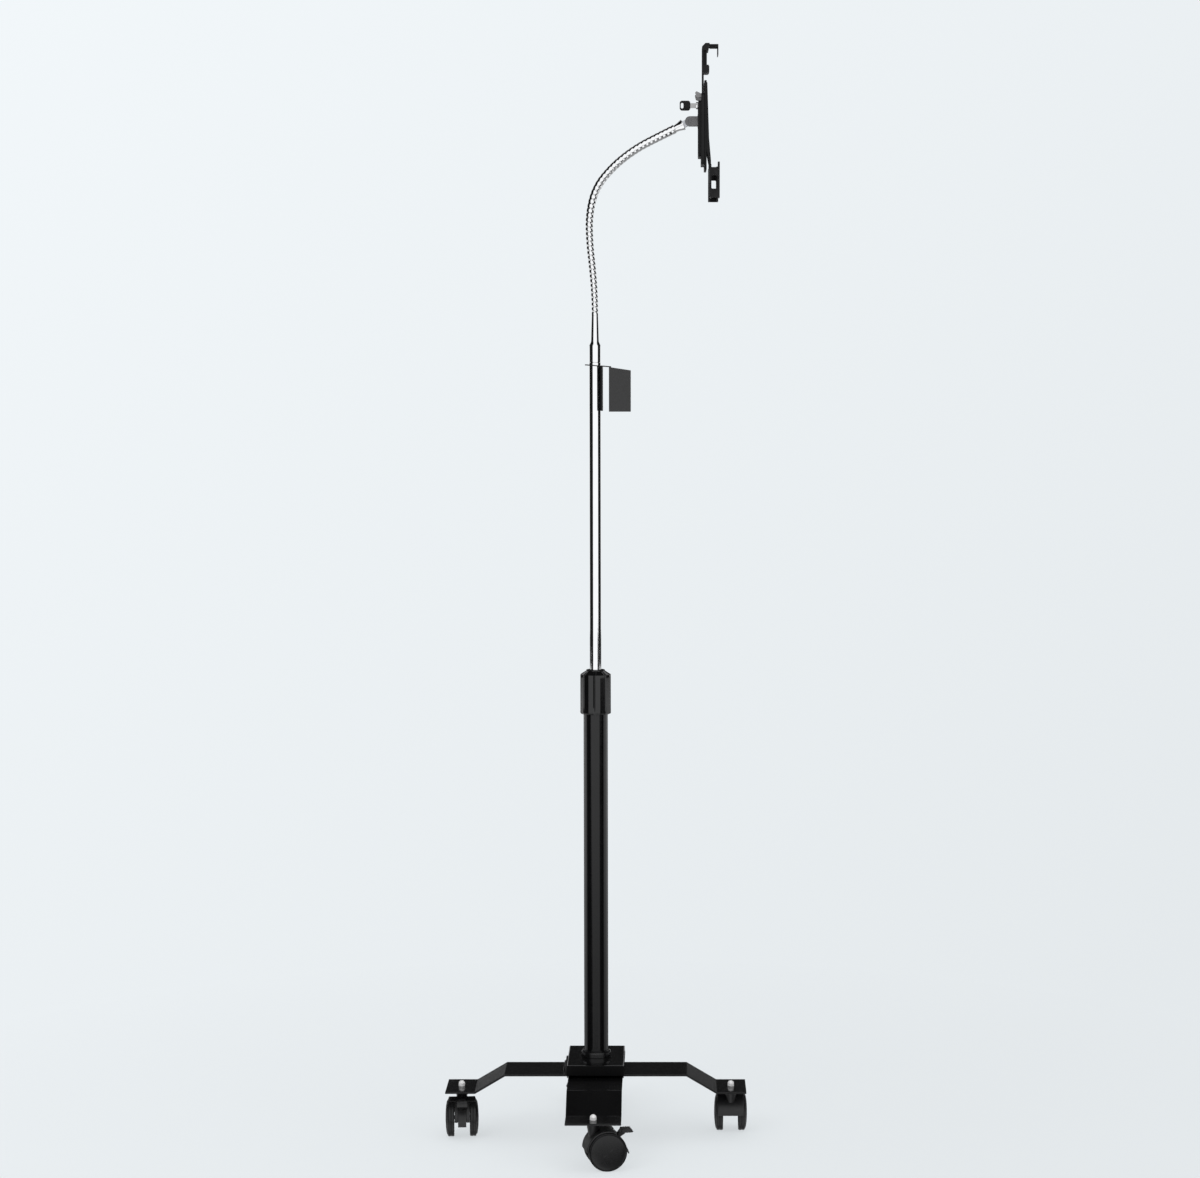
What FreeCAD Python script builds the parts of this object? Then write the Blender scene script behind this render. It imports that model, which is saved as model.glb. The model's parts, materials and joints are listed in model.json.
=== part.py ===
import FreeCAD, Part
import math
import os

# Gooseneck floor stand with a lockable tablet holder. Millimetres and degrees.
# The origin is on the floor under the pole. +Z is up and +X is the side that the screen faces.

# Clearances
running_fit = 0.05
side_gap = 0.3
seat_overrun = 0.5

# Casters. Places on them are measured back and up from the axle.
wheel_radius = 25.0
wheel_gap = 20.6
wheel_tread = 8.6
wheel_dome = 3.1
wheel_edge = 0.8
wheel_bore_depth = 8.0
axle_radius = 2.5
caster_trail = 16.0
arch_gap = 0.7
hood_wall = 1.8
hood_width = 36.0
hood_edge_radius = 1.5
hood_back_angle = 64.0
hood_front_angle = 179.0
web_side_gap = 0.25
web_inset = 0.4
web_back_angle = -3.0
web_floor_drop = 5.2
web_floor_half = 6.0
web_nose_back = -20.0
web_nose_drop = 1.0
boss_radius = 8.6
boss_foot_radius = 5.6
boss_depth = 20.0
stem_radius = 4.0
stem_socket_depth = 24.0
stem_flange_radius = 7.0
stem_flange_height = 1.3
stem_ring_radius = 4.3
stem_ring_height = 3.2
stem_rise = 7.2
stem_slot_width = 1.2
stem_slot_depth = 3.0
stem_groove_depth = 0.5
stem_groove_height = 0.6
brake_pivot_inset = 3.35
brake_pivot_angle = 47.2
brake_barrel_radius = 2.4
brake_trunnion_radius = 1.5
brake_trunnion_reach = 3.0
brake_width = 11.0
brake_slot_front = 9.0
brake_pad_width = 14.0
brake_pad_offset = 5.3
brake_pad_length = 15.2
brake_pad_rise = 10.2
brake_pad_thickness = 4.6
brake_pad_lip = 2.4
brake_leaf_start = 1.4
brake_leaf_reach = 15.6
brake_leaf_drop = 21.6
brake_leaf_bow = 1.6
brake_leaf_thickness = 1.5
left_caster_turn = 4.0
front_caster_turn = 12.0

# Base bars
bar_width = 72.0
bar_thickness = 2.5
bar_over_wheels = 11.3
bar_lift = 23.7
bar_half_length = 200.0
bar_end_length = 39.0
bar_slope_run = 40.0
bar_bend_radius = 2.0
bridge_half = 38.0
bridge_ramp = 4.0
caster_inset = 20.0

# Hub over the crossing
hub_height = 17.5
hub_side_gap = 0.1
hub_half_depth = 58.0
hub_wall = 1.4
hub_front_gap = 3.5
hub_ear_reach = 6.0
hub_strip_thickness = 2.7
hub_strip_back = 11.0
hub_edge_radius = 1.5
socket_radius = 19.5
socket_neck_radius = 18.0
socket_rise = 8.6
socket_chamfer = 2.4
socket_floor = 5.0
hub_bolt_radius = 4.0
hub_bolt_head_radius = 7.2
hub_bolt_head_height = 5.3
hub_bolt_reach = 3.0
washer_radius = 9.0
washer_thickness = 1.5

# Pole
lower_tube_radius = 16.0
lower_tube_wall = 1.5
lower_tube_top = 598.0
collar_overlap = 32.6
collar_body_height = 52.6
collar_cone_height = 6.0
collar_radius = 20.4
collar_mouth_radius = 8.5
collar_shoulder = 4.0
collar_lip = 3.0
collar_flutes = 8
collar_flute_radius = 7.0
collar_flute_depth = 1.3
collar_flute_foot = 5.0
collar_flute_head = 3.0
collar_edge = 1.2
collet_spigot_length = 20.0
collet_flange_height = 3.0
collet_cone_height = 15.0
collet_cone_base = 14.0
collet_cone_tip = 9.6
collet_slots = 4
collet_slot_width = 1.6
collet_slot_floor = 2.0
collar_cone_gap = 0.6
collar_roof_chamfer = 1.5
upper_tube_radius = 7.5
upper_tube_wall = 1.2
upper_tube_overlap = 86.0
upper_tube_showing = 431.4
glide_height = 25.0
glide_foot = 3.0

# Ferrules and neck
ferrule_base_height = 22.2
ferrule_base_radius = 7.3
ferrule_chamfer_height = 4.6
ferrule_waist_radius = 5.1
ferrule_top_radius = 4.05
ferrule_taper_height = 37.4
neck_link_length = 36.78
neck_turns = [-4.0, -2.4, 5.0, 15.2, 26.3, 12.6, 10.6, 0.6]
neck_base_radius = 4.4
neck_head_radius = 6.0
rib_depth = 1.5
ribs_per_link = 6
rib_flat = 0.28
ball_inset = 0.9
link_gap = 2.2
stem_share = 0.55
neck_bore_radius = 1.6
ball_bore_radius = 0.7
flare_length = 13.1
flare_small_radius = 4.35
flare_mouth_radius = 7.2
tongue_thickness = 4.0
tongue_height = 9.0
pivot_reach = 22.6
neck_tuck = 0.6
ferrule_plug_length = 12.0
ball_root = 2.0
neck_bore_stop = 1.5
rib_run_out = 0.4

# Knuckle and swivel
knuckle_height = 12.6
knuckle_width = 13.0
knuckle_reach = 10.1
knuckle_slot_depth = 6.2
knuckle_pin_inset = 0.2
knuckle_pin_radius = 2.0
swivel_bolt_radius = 3.0
swivel_bolt_grip = 3.2
swivel_nut_radius = 5.8
swivel_nut_height = 2.1
friction_washer_radius = 9.0
friction_washer_height = 1.5

# Tablet holder. The cover's height is set from the tilt pin, and the rest from the cover.
cover_stand_off = 0.57
cover_drop = 47.4
cover_rise = 25.1
cover_depth = 3.9
cover_half_width = 32.0
cover_edge_radius = 1.0
housing_depth = 4.0
housing_below_cover = 10.3
housing_above_cover = 9.0
housing_half_width = 38.0
channel_floor = 2.5
track_depth = 3.0
track_below_housing = 6.9
track_above_housing = 16.8
track_half_width = 35.0
plate_corner_radius = 6.0
arm_thickness = 2.2
arm_half_width = 20.0
arm_foot_above_cover = 4.3
arm_slot_half = 8.0
arm_slot_margin = 6.2
arm_back_gap = 1.1
head_above_track = 48.6
head_height = 9.6
head_depth = 9.9
head_front_slant = 1.6
head_chamfer = 4.4
web_depth = 6.3
web_height = 18.4
web_half_width = 14.0
stop_depth = 8.6
stop_height = 9.9
hook_reach = 21.2
hook_lip = 1.2
hook_drop = 14.0
hook_half_width = 17.0
hook_roof = 2.4
hook_step = 1.2
carrier_below_track = 3.0
carrier_half_width = 34.0
carrier_top_depth = 0.8
carrier_low_rise = 35.0
carrier_joggle_rise = 6.0
carrier_joggle_run = 14.0
carrier_joggle_step = 2.0
carrier_gap = 0.05
strip_stand_off = 3.2
strip_thickness = 2.5
strip_below_track = 16.5
strip_height = 22.0
strip_above_tray = 12.0
corner_inner = 42.0
corner_outer = 70.8
corner_wall = 2.5
tray_skirt = 8.5
tray_thickness = 2.4
tray_depth = 8.4
lip_thickness = 2.3
lip_height = 37.4
wall_height = 30.1
window_rise = 2.7
window_height = 17.2
window_margin = 0.4
window_round = 1.5
corner_round = 5.0
pad_thickness = 0.8
pad_margin = 0.2
lock_inset = 4.8
lock_barrel_radius = 4.2
lock_rim_radius = 4.7
lock_rim_height = 2.6
key_shank_reach = 7.9
key_shank_height = 6.2
key_shank_thickness = 2.0
key_insert = 4.0
key_bow_length = 13.4
key_bow_height = 12.7
key_bow_thickness = 3.6
key_hole_width = 3.5
key_hole_height = 7.3
key_hole_inset = 1.4
key_hole_flat = 0.1
key_bow_overlap = 0.4
key_corner = 3.2
screw_spread_y = 25.0
screw_spread_z = 29.0
screw_radius = 1.5
screw_head_radius = 2.8
screw_head_height = 1.4
screw_head_sunk = 0.2
screw_tip_gap = 1.2
screw_cross_half = 1.5
screw_cross_width = 0.6
screw_cross_depth = 0.8
flap_thickness = 1.6
flap_half_width = 9.0
flap_inset = 8.0
flap_drop = 5.2
flap_reach = 6.2
flap_rise = 11.0

# Accessory pocket on the pole
sheet_thickness = 1.2
sheet_drop = 4.05
sheet_grip = 0.15
sheet_back = 13.0
sheet_front = 21.1
sheet_half_width = 12.0
sheet_tilt = 4.2
spine_thickness = 2.7
spine_height = 58.4
pocket_back = 18.4
pocket_front = 46.9
pocket_half_depth = 12.0
pocket_wall = 1.5
pocket_height = 58.2
pocket_slope = 8.6
tab_drop = 14.0
tab_gap = 1.0
pocket_sheet_gap = 0.1


def vector(x, y, z):
    return FreeCAD.Vector(x, y, z)


def rod(radius, base, axis, length):
    return Part.makeCylinder(radius, length, base, axis)


def upright(radius, low, high, x=0.0, y=0.0):
    return Part.makeCylinder(radius, high - low, vector(x, y, low), vector(0, 0, 1))


def ring(outer, inner, low, high):
    return upright(outer, low, high).cut(upright(inner, low - 1, high + 1))


def block(low, high):
    size = [high[i] - low[i] for i in range(3)]
    return Part.makeBox(size[0], size[1], size[2], vector(*low))


def turned(points):
    """A solid of revolution about Z from (radius, height) points."""
    corners = [vector(radius, 0, height) for radius, height in points]
    wire = Part.makePolygon(corners + corners[:1])
    return Part.Face(wire).revolve(vector(0, 0, 0), vector(0, 0, 1), 360)


def side_plate(points, y_low, y_high):
    """A prism along Y from (x, z) points."""
    corners = [vector(x, y_low, z) for x, z in points]
    face = Part.Face(Part.makePolygon(corners + corners[:1]))
    return face.extrude(vector(0, y_high - y_low, 0))


def rounded_facing_plate(half_width, low, high, x_low, x_high, radius):
    plate = block((x_low, -half_width, low), (x_high, half_width, high))
    corners = [edge for edge in plate.Edges
               if abs(edge.tangentAt(edge.FirstParameter).x) > 0.9]
    return plate.makeFillet(radius, corners)


def moved(shape, angle, x, y, z=0.0):
    """The shape turned about Z by an angle, then carried to a place."""
    copy = shape.copy()
    copy.rotate(vector(0, 0, 0), vector(0, 0, 1), angle)
    copy.translate(vector(x, y, z))
    return copy


def one_solid(shape):
    shape = shape.removeSplitter()
    return shape.Solids[0] if len(shape.Solids) == 1 else shape


def save(name, shape):
    solids = shape.Solids
    print(name, "solids", len(solids), "valid", shape.isValid(), "volume", round(shape.Volume, 1))
    shape.exportStep("parts/" + name + ".step")


# Casters. Each is drawn with its stem on the Z axis and its axle at +X, then put in its place.

wheel_inner = wheel_gap / 2
wheel_rim = wheel_inner + wheel_tread
arch_radius = wheel_radius + arch_gap
hood_radius = arch_radius + hood_wall
web_half = wheel_inner - web_side_gap
web_radius = wheel_radius - web_inset
bar_end_bottom = 2 * wheel_radius + bar_over_wheels
bar_end_top = bar_end_bottom + bar_thickness
boss_top = bar_end_bottom - stem_flange_height - side_gap
brake_pivot_radius = wheel_radius - brake_pivot_inset
brake_pivot_back = brake_pivot_radius * math.cos(math.radians(brake_pivot_angle))
brake_pivot_rise = brake_pivot_radius * math.sin(math.radians(brake_pivot_angle))


def axle_place(back, rise):
    return vector(caster_trail + back, 0, wheel_radius + rise)


def round_axle(radius, angle):
    """A place round the axle, its angle counted upwards from straight back."""
    turn = math.radians(angle)
    return axle_place(radius * math.cos(turn), radius * math.sin(turn))


def arc_round_axle(radius, first, last):
    return Part.Arc(round_axle(radius, first), round_axle(radius, (first + last) / 2),
                    round_axle(radius, last)).toShape()


def across_axle(radius, half_width, back=0.0, rise=0.0):
    centre = axle_place(back, rise)
    start = centre - vector(0, half_width, 0)
    return Part.makeCylinder(radius, 2 * half_width, start, vector(0, 1, 0))


def spread_sideways(edges, half_width):
    """A body as wide as twice the half width, from the edges of its side outline."""
    face = Part.Face(Part.Wire(Part.__sortEdges__(edges)))
    body = face.extrude(vector(0, 2 * half_width, 0))
    body.translate(vector(0, -half_width, 0))
    return body


def band(inner, outer, first, last, half_width):
    """Part of a ring round the axle, between two angles."""
    edges = [arc_round_axle(outer, first, last),
             Part.makeLine(round_axle(outer, last), round_axle(inner, last)),
             arc_round_axle(inner, last, first),
             Part.makeLine(round_axle(inner, first), round_axle(outer, first))]
    return spread_sideways(edges, half_width)


def hood_shell():
    """The thin shell over both wheels."""
    shell = band(arch_radius, hood_radius, hood_back_angle, hood_front_angle, hood_width / 2)
    rims = [edge for edge in shell.Edges
            if abs(abs(edge.CenterOfMass.y) - hood_width / 2) < 0.01
            and abs(getattr(edge.Curve, "Radius", 0) - hood_radius) < 0.01]
    return shell.makeFillet(hood_edge_radius, rims)


def hood_web():
    """The solid middle between the wheels."""
    corners = [round_axle(hood_radius, hood_front_angle),
               axle_place(web_nose_back, -web_nose_drop),
               axle_place(-web_floor_half, -web_floor_drop),
               axle_place(web_floor_half, -web_floor_drop),
               round_axle(web_radius, web_back_angle)]
    edges = Part.makePolygon(corners).Edges
    edges.append(arc_round_axle(web_radius, web_back_angle, hood_back_angle))
    edges.append(Part.makeLine(round_axle(web_radius, hood_back_angle),
                               round_axle(hood_radius, hood_back_angle)))
    edges.append(arc_round_axle(hood_radius, hood_back_angle, hood_front_angle))
    return spread_sideways(edges, web_half)


def caster_hood():
    boss = Part.makeCone(boss_foot_radius, boss_radius, boss_depth,
                         vector(0, 0, boss_top - boss_depth))
    hood = hood_shell().fuse([hood_web(), boss])
    hood = hood.cut(upright(stem_radius + running_fit, boss_top - stem_socket_depth, boss_top + 1))
    hood = hood.cut(across_axle(axle_radius, hood_width))
    hood = hood.cut(brake_slot())
    return one_solid(hood.cut(across_axle(brake_trunnion_radius + running_fit,
                                          brake_width / 2 + brake_trunnion_reach + side_gap,
                                          brake_pivot_back, brake_pivot_rise)))


def brake_slot():
    """The open middle of the back, where the brake's lever and leaf swing."""
    half = brake_width / 2 + side_gap
    low = axle_place(brake_slot_front, -wheel_radius)
    high = axle_place(2 * hood_radius, 2 * hood_radius)
    return block((low.x, -half, low.z), (high.x, half, high.z))


def caster_axle():
    return across_axle(axle_radius, wheel_inner + wheel_bore_depth - side_gap)


def caster_wheel(side):
    """A wheel with a flat tread, a domed outer face and a blind bore, on the +Y or -Y side."""
    outer_edge = wheel_radius - wheel_edge
    corners = [vector(0, wheel_inner, 0),
               vector(outer_edge, wheel_inner, 0),
               vector(wheel_radius, wheel_inner + wheel_edge, 0),
               vector(wheel_radius, wheel_rim - wheel_edge, 0),
               vector(outer_edge, wheel_rim, 0)]
    dome_end = vector(0, wheel_rim + wheel_dome, 0)
    curve_radius = (outer_edge ** 2 + wheel_dome ** 2) / (2 * wheel_dome)
    half_angle = math.asin(outer_edge / curve_radius) / 2
    drop = curve_radius - curve_radius * math.cos(half_angle)
    middle = vector(curve_radius * math.sin(half_angle), wheel_rim + wheel_dome - drop, 0)
    dome = Part.Arc(corners[-1], middle, dome_end).toShape()
    edges = Part.makePolygon(corners).Edges + [dome, Part.makeLine(dome_end, corners[0])]
    wheel = Part.Face(Part.Wire(edges)).revolve(vector(0, 0, 0), vector(0, 1, 0), 360)
    bore = rod(axle_radius + running_fit, vector(0, wheel_inner - 1, 0), vector(0, 1, 0),
               wheel_bore_depth + 1)
    wheel = wheel.cut(bore)
    wheel.translate(axle_place(0, 0))
    if side < 0:
        wheel = wheel.mirror(vector(0, 0, 0), vector(0, 1, 0))
    return wheel


def caster_brake():
    """The foot pad, its short lever on the pivot and the leaf that runs down between the wheels."""
    half = brake_width / 2
    barrel = across_axle(brake_barrel_radius, half, brake_pivot_back, brake_pivot_rise)
    trunnion = across_axle(brake_trunnion_radius, half + brake_trunnion_reach,
                           brake_pivot_back, brake_pivot_rise)
    start = brake_pivot_back + brake_pad_offset
    end = start + brake_pad_length
    top = brake_pivot_rise + brake_pad_rise
    low = top - brake_pad_thickness
    root = brake_barrel_radius / 2
    pad = [(start, top), (end - brake_pad_lip, top), (end, low + brake_pad_lip / 2),
           (end - brake_pad_lip / 2, low), (start, low)]
    lever = [(brake_pivot_back - root, brake_pivot_rise + root), (start, top - root / 2),
             (start + brake_pad_thickness, low + root / 2), (start + brake_pad_thickness, low - root),
             (brake_pivot_back + root, brake_pivot_rise - root)]

    def place(points):
        return [(caster_trail + back, wheel_radius + rise) for back, rise in points]

    pieces = [trunnion, side_plate(place(pad), -brake_pad_width / 2, brake_pad_width / 2),
              side_plate(place(lever), -half, half)]
    return one_solid(barrel.fuse(pieces + [brake_leaf(half)]))


def brake_leaf(half):
    """The thin springy leaf, a shallow arc from the pivot down past the treads."""
    top = vector(brake_pivot_back + brake_leaf_start, 0, brake_pivot_rise + brake_leaf_start)
    tip = vector(brake_pivot_back + brake_leaf_reach, 0, brake_pivot_rise - brake_leaf_drop)
    along = (tip - top).normalize()
    outward = vector(-along.z, 0, along.x)
    middle = (top + tip) / 2 + outward * brake_leaf_bow
    centre = axle_place(0, 0)
    inward = outward * -brake_leaf_thickness
    outer = [centre + place for place in (top, middle, tip)]
    inner = [place + inward for place in outer]
    edges = [Part.Arc(*outer).toShape(), Part.makeLine(outer[2], inner[2]),
             Part.Arc(*inner[::-1]).toShape(), Part.makeLine(inner[0], outer[0])]
    return spread_sideways(edges, half)


def caster_stem():
    """The pin that the hood turns on, with a flange under the plate and a slotted spring tip."""
    ring_top = bar_end_top + stem_ring_height
    tip_top = bar_end_top + stem_rise
    shaft = upright(stem_radius, boss_top - stem_socket_depth + seat_overrun, bar_end_top)
    flange = upright(stem_flange_radius, bar_end_bottom - stem_flange_height, bar_end_bottom)
    grip = upright(stem_ring_radius, bar_end_top, ring_top)
    dome_height = tip_top - ring_top
    ball_radius = (stem_ring_radius ** 2 + dome_height ** 2) / (2 * dome_height)
    ball = Part.makeSphere(ball_radius, vector(0, 0, tip_top - ball_radius))
    tip = upright(stem_ring_radius, ring_top, tip_top + 1).common(ball)
    stem = shaft.fuse([flange, grip, tip])
    for angle in (45, 135):
        slot = block((-2 * stem_ring_radius, -stem_slot_width / 2, tip_top - stem_slot_depth),
                     (2 * stem_ring_radius, stem_slot_width / 2, tip_top + 1))
        slot.rotate(vector(0, 0, 0), vector(0, 0, 1), angle)
        stem = stem.cut(slot)
    groove = ring(stem_ring_radius + 1, stem_ring_radius - stem_groove_depth,
                  ring_top - stem_groove_height, ring_top)
    return one_solid(stem.cut(groove))


caster_reach = bar_half_length - caster_inset
caster_places = {
    "left": (-caster_reach, 0.0, left_caster_turn - 90.0),
    "right": (caster_reach, 0.0, 90.0),
    "front": (0.0, -caster_reach, front_caster_turn),
    "rear": (0.0, caster_reach, 180.0 + front_caster_turn),
}


def casters():
    pieces = {"stem": caster_stem(), "hood": caster_hood(), "axle": caster_axle(),
              "wheel_a": caster_wheel(1), "wheel_b": caster_wheel(-1), "brake": caster_brake()}
    for place, (x, y, angle) in caster_places.items():
        for piece, shape in pieces.items():
            save(place + "_caster_" + piece, moved(shape, angle, x, y))


# Base

bar_top = bar_end_top + bar_lift
bar_slope_half = bar_half_length - bar_end_length
bar_flat_half = bar_slope_half - bar_slope_run
hub_top = bar_top + hub_height
hub_front_bottom = bar_top + hub_front_gap
hub_half_width = bar_width / 2 + hub_side_gap + hub_wall


def folded_bar(points):
    """A strip of sheet with crisp bends: (run, top height) points, drawn along X."""
    count = len(points)
    lower = []
    for index in range(count):
        normals = []
        for first, second in ((index - 1, index), (index, index + 1)):
            if first >= 0 and second < count:
                run = points[second][0] - points[first][0]
                rise = points[second][1] - points[first][1]
                length = math.hypot(run, rise)
                normals.append((rise / length, -run / length))
        nx = sum(n[0] for n in normals) / len(normals)
        nz = sum(n[1] for n in normals) / len(normals)
        scale = bar_thickness / (nx * nx + nz * nz)
        lower.append((points[index][0] + nx * scale, points[index][1] + nz * scale))
    half = bar_width / 2
    bar = side_plate(points + lower[::-1], -half, half)
    bends = []
    for edge in bar.Edges:
        middle = edge.CenterOfMass
        along = abs(edge.tangentAt(edge.FirstParameter).y) > 0.9
        if along and abs(abs(middle.x) - bar_half_length) > 1:
            bends.append(edge)
    return bar.makeFillet(bar_bend_radius, bends)


def bar_holes(bar):
    for sign in (-1, 1):
        bar = bar.cut(upright(stem_radius + running_fit, 0, bar_top, sign * caster_reach))
    return bar.cut(upright(hub_bolt_radius + running_fit, 0, hub_top))


def side_bar():
    right = [(bar_flat_half, bar_top), (bar_slope_half, bar_end_top), (bar_half_length, bar_end_top)]
    left = [(-x, z) for x, z in reversed(right)]
    return one_solid(bar_holes(folded_bar(left + right)))


def front_bar():
    """The crossing bar, joggled up over the side bar by one thickness of sheet."""
    bridge = bar_top + bar_thickness
    right = [(bridge_half, bridge), (bridge_half + bridge_ramp, bar_top), (bar_flat_half, bar_top),
             (bar_slope_half, bar_end_top), (bar_half_length, bar_end_top)]
    left = [(-x, z) for x, z in reversed(right)]
    bar = bar_holes(folded_bar(left + right))
    bar.rotate(vector(0, 0, 0), vector(0, 0, 1), 90)
    return one_solid(bar)


def hub_cover():
    width, depth = hub_half_width, hub_half_depth
    outer = block((-width, -depth, bar_top), (width, depth, hub_top))
    top_edges = [edge for edge in outer.Edges if abs(edge.CenterOfMass.z - hub_top) < 0.01]
    outer = outer.makeFillet(hub_edge_radius, top_edges)
    inner = block((-width + hub_wall, -depth + hub_wall, bar_top - 1),
                  (width - hub_wall, depth - hub_wall, hub_top - hub_wall))
    cover = outer.cut(inner)
    for sign in (-1, 1):
        low, high = sorted((sign * (depth - 2 * hub_wall), sign * (depth + 1)))
        cover = cover.cut(block((-width - 1, low, bar_top - 1), (width + 1, high, hub_front_bottom)))
    ear = block((-width - hub_ear_reach, -bar_width / 2, bar_top),
                (-width, bar_width / 2, bar_top + bar_thickness))
    strip = block((-width - hub_strip_thickness, -depth + hub_edge_radius, hub_front_bottom),
                  (-width, hub_strip_back, hub_top - 2 * hub_wall))
    cover = cover.fuse([ear, strip])
    return one_solid(cover.cut(upright(socket_neck_radius + running_fit, 0, hub_top + 1)))


socket_bottom = bar_top + bar_thickness
tube_seat = socket_bottom + socket_floor


def pole_socket():
    top = hub_top + socket_rise
    points = [(0, socket_bottom), (socket_neck_radius, socket_bottom), (socket_neck_radius, hub_top),
              (socket_radius, hub_top), (socket_radius, top - socket_chamfer),
              (socket_radius - socket_chamfer, top), (0, top)]
    socket = turned(points)
    socket = socket.cut(upright(lower_tube_radius + running_fit, tube_seat, top + 1))
    return one_solid(socket.cut(upright(hub_bolt_radius + running_fit, 0, top)))


def hub_bolt():
    """A hexagon screw and its washer, from below through both bars into the socket's floor."""
    washer_top = bar_top - bar_thickness
    washer_bottom = washer_top - washer_thickness
    head_low = washer_bottom - hub_bolt_head_height
    corners = []
    for index in range(6):
        angle = math.radians(60 * index)
        corners.append(vector(hub_bolt_head_radius * math.cos(angle),
                              hub_bolt_head_radius * math.sin(angle), head_low))
    head = Part.Face(Part.makePolygon(corners + corners[:1])).extrude(vector(0, 0, hub_bolt_head_height))
    shank = upright(hub_bolt_radius, washer_bottom - 1, tube_seat + hub_bolt_reach)
    washer = ring(washer_radius, hub_bolt_radius + running_fit, washer_bottom, washer_top)
    return Part.makeCompound([one_solid(head.fuse(shank)), washer])


# Pole

tube_bore = lower_tube_radius - lower_tube_wall
upper_bore = upper_tube_radius - upper_tube_wall
upper_tube_bottom = lower_tube_top - upper_tube_overlap
seam_height = lower_tube_top + upper_tube_showing
collar_bottom = lower_tube_top - collar_overlap
collar_body_top = collar_bottom + collar_body_height
collar_top = collar_body_top + collar_cone_height
collet_base = lower_tube_top + collet_flange_height


def lower_tube():
    return ring(lower_tube_radius, tube_bore, tube_seat, lower_tube_top)


def lock_collet():
    """The split ring on top of the lower tube that the collar squeezes on the upper tube."""
    spigot_bottom = lower_tube_top - collet_spigot_length
    cone_top = collet_base + collet_cone_height
    bore = upper_tube_radius + running_fit
    points = [(bore, spigot_bottom), (tube_bore - running_fit, spigot_bottom),
              (tube_bore - running_fit, lower_tube_top), (lower_tube_radius, lower_tube_top),
              (lower_tube_radius, collet_base), (collet_cone_base, collet_base),
              (collet_cone_tip, cone_top), (bore, cone_top)]
    collet = turned(points)
    for index in range(collet_slots):
        slot = block((0, -collet_slot_width / 2, collet_base + collet_slot_floor),
                     (lower_tube_radius, collet_slot_width / 2, cone_top + 1))
        slot.rotate(vector(0, 0, 0), vector(0, 0, 1), 360.0 * index / collet_slots)
        collet = collet.cut(slot)
    return one_solid(collet)


def lock_collar():
    """The fluted twist lock over the joint of the two tubes."""
    roof = collet_base + collet_cone_height + collar_cone_gap
    sleeve = lower_tube_radius + running_fit
    points = [(sleeve, collar_bottom), (collar_radius - collar_edge, collar_bottom),
              (collar_radius, collar_bottom + collar_edge), (collar_radius, collar_body_top),
              (collar_mouth_radius + collar_shoulder, collar_top - collar_edge / 2),
              (collar_mouth_radius + collar_lip, collar_top), (collar_mouth_radius, collar_top),
              (collar_mouth_radius, roof + collar_roof_chamfer),
              (collet_cone_tip + collar_cone_gap, roof),
              (collet_cone_base + collar_cone_gap, collet_base + collar_cone_gap),
              (sleeve, collet_base + collar_cone_gap)]
    collar = turned(points)
    flute_centre = collar_radius + collar_flute_radius - collar_flute_depth
    for index in range(collar_flutes):
        angle = math.radians(360.0 * (index + 0.5) / collar_flutes)
        flute = upright(collar_flute_radius, collar_bottom + collar_flute_foot,
                        collar_body_top - collar_flute_head,
                        flute_centre * math.cos(angle), flute_centre * math.sin(angle))
        collar = collar.cut(flute)
    return one_solid(collar)


def upper_tube():
    return ring(upper_tube_radius, upper_bore, upper_tube_bottom, seam_height)


def tube_glide():
    """The bush on the upper tube's foot that slides in the lower tube."""
    bottom = upper_tube_bottom - glide_foot
    outer = upright(tube_bore - running_fit, bottom, upper_tube_bottom + glide_height)
    bore = upright(upper_tube_radius, upper_tube_bottom, upper_tube_bottom + glide_height + 1)
    hole = upright(upper_bore, bottom - 1, upper_tube_bottom + 1)
    return one_solid(outer.cut(bore).cut(hole))


# Accessory pocket

sheet_centre_height = seam_height - sheet_drop


def tilt_with_sheet(shape):
    shape.rotate(vector(0, 0, sheet_centre_height), vector(0, 1, 0), sheet_tilt)
    return shape


def pocket_corner_height(x):
    drop = (x - pocket_back) * math.tan(math.radians(pocket_slope))
    start = sheet_centre_height - pocket_back * math.tan(math.radians(sheet_tilt))
    return start - sheet_thickness / 2 - pocket_sheet_gap - drop


def pocket_bracket():
    """Folded sheet: a strap that jams on the pole, a spine along it and a tab in the pocket."""
    low = sheet_centre_height - sheet_thickness / 2
    strap = block((-sheet_back, -sheet_half_width, low),
                  (sheet_front, sheet_half_width, low + sheet_thickness))
    strap = tilt_with_sheet(strap)
    spine_left = upper_tube_radius + running_fit
    spine_top = sheet_centre_height - (spine_left + spine_thickness) * math.tan(math.radians(sheet_tilt))
    spine = block((spine_left, -sheet_half_width, spine_top - spine_height),
                  (spine_left + spine_thickness, sheet_half_width, spine_top))
    tab_x = pocket_back + pocket_wall
    tab_top = pocket_corner_height(tab_x) + sheet_thickness
    tab_half = sheet_half_width - pocket_wall - tab_gap
    tab = block((tab_x, -tab_half, tab_top - tab_drop), (tab_x + sheet_thickness, tab_half, tab_top))
    bracket = strap.fuse([spine, tab])
    return one_solid(bracket.cut(upright(upper_tube_radius + sheet_grip, 0, seam_height)))


def accessory_pocket():
    """An open pocket with a sloping mouth."""
    top_left = pocket_corner_height(pocket_back)
    top_right = pocket_corner_height(pocket_front)
    bottom = top_left - pocket_height
    outline = [(pocket_back, bottom), (pocket_front, bottom), (pocket_front, top_right),
               (pocket_back, top_left)]
    body = side_plate(outline, -pocket_half_depth, pocket_half_depth)
    hollow = block((pocket_back + pocket_wall, -pocket_half_depth + pocket_wall, bottom + pocket_wall),
                   (pocket_front - pocket_wall, pocket_half_depth - pocket_wall, seam_height))
    return one_solid(body.cut(hollow))


# Neck

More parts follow.
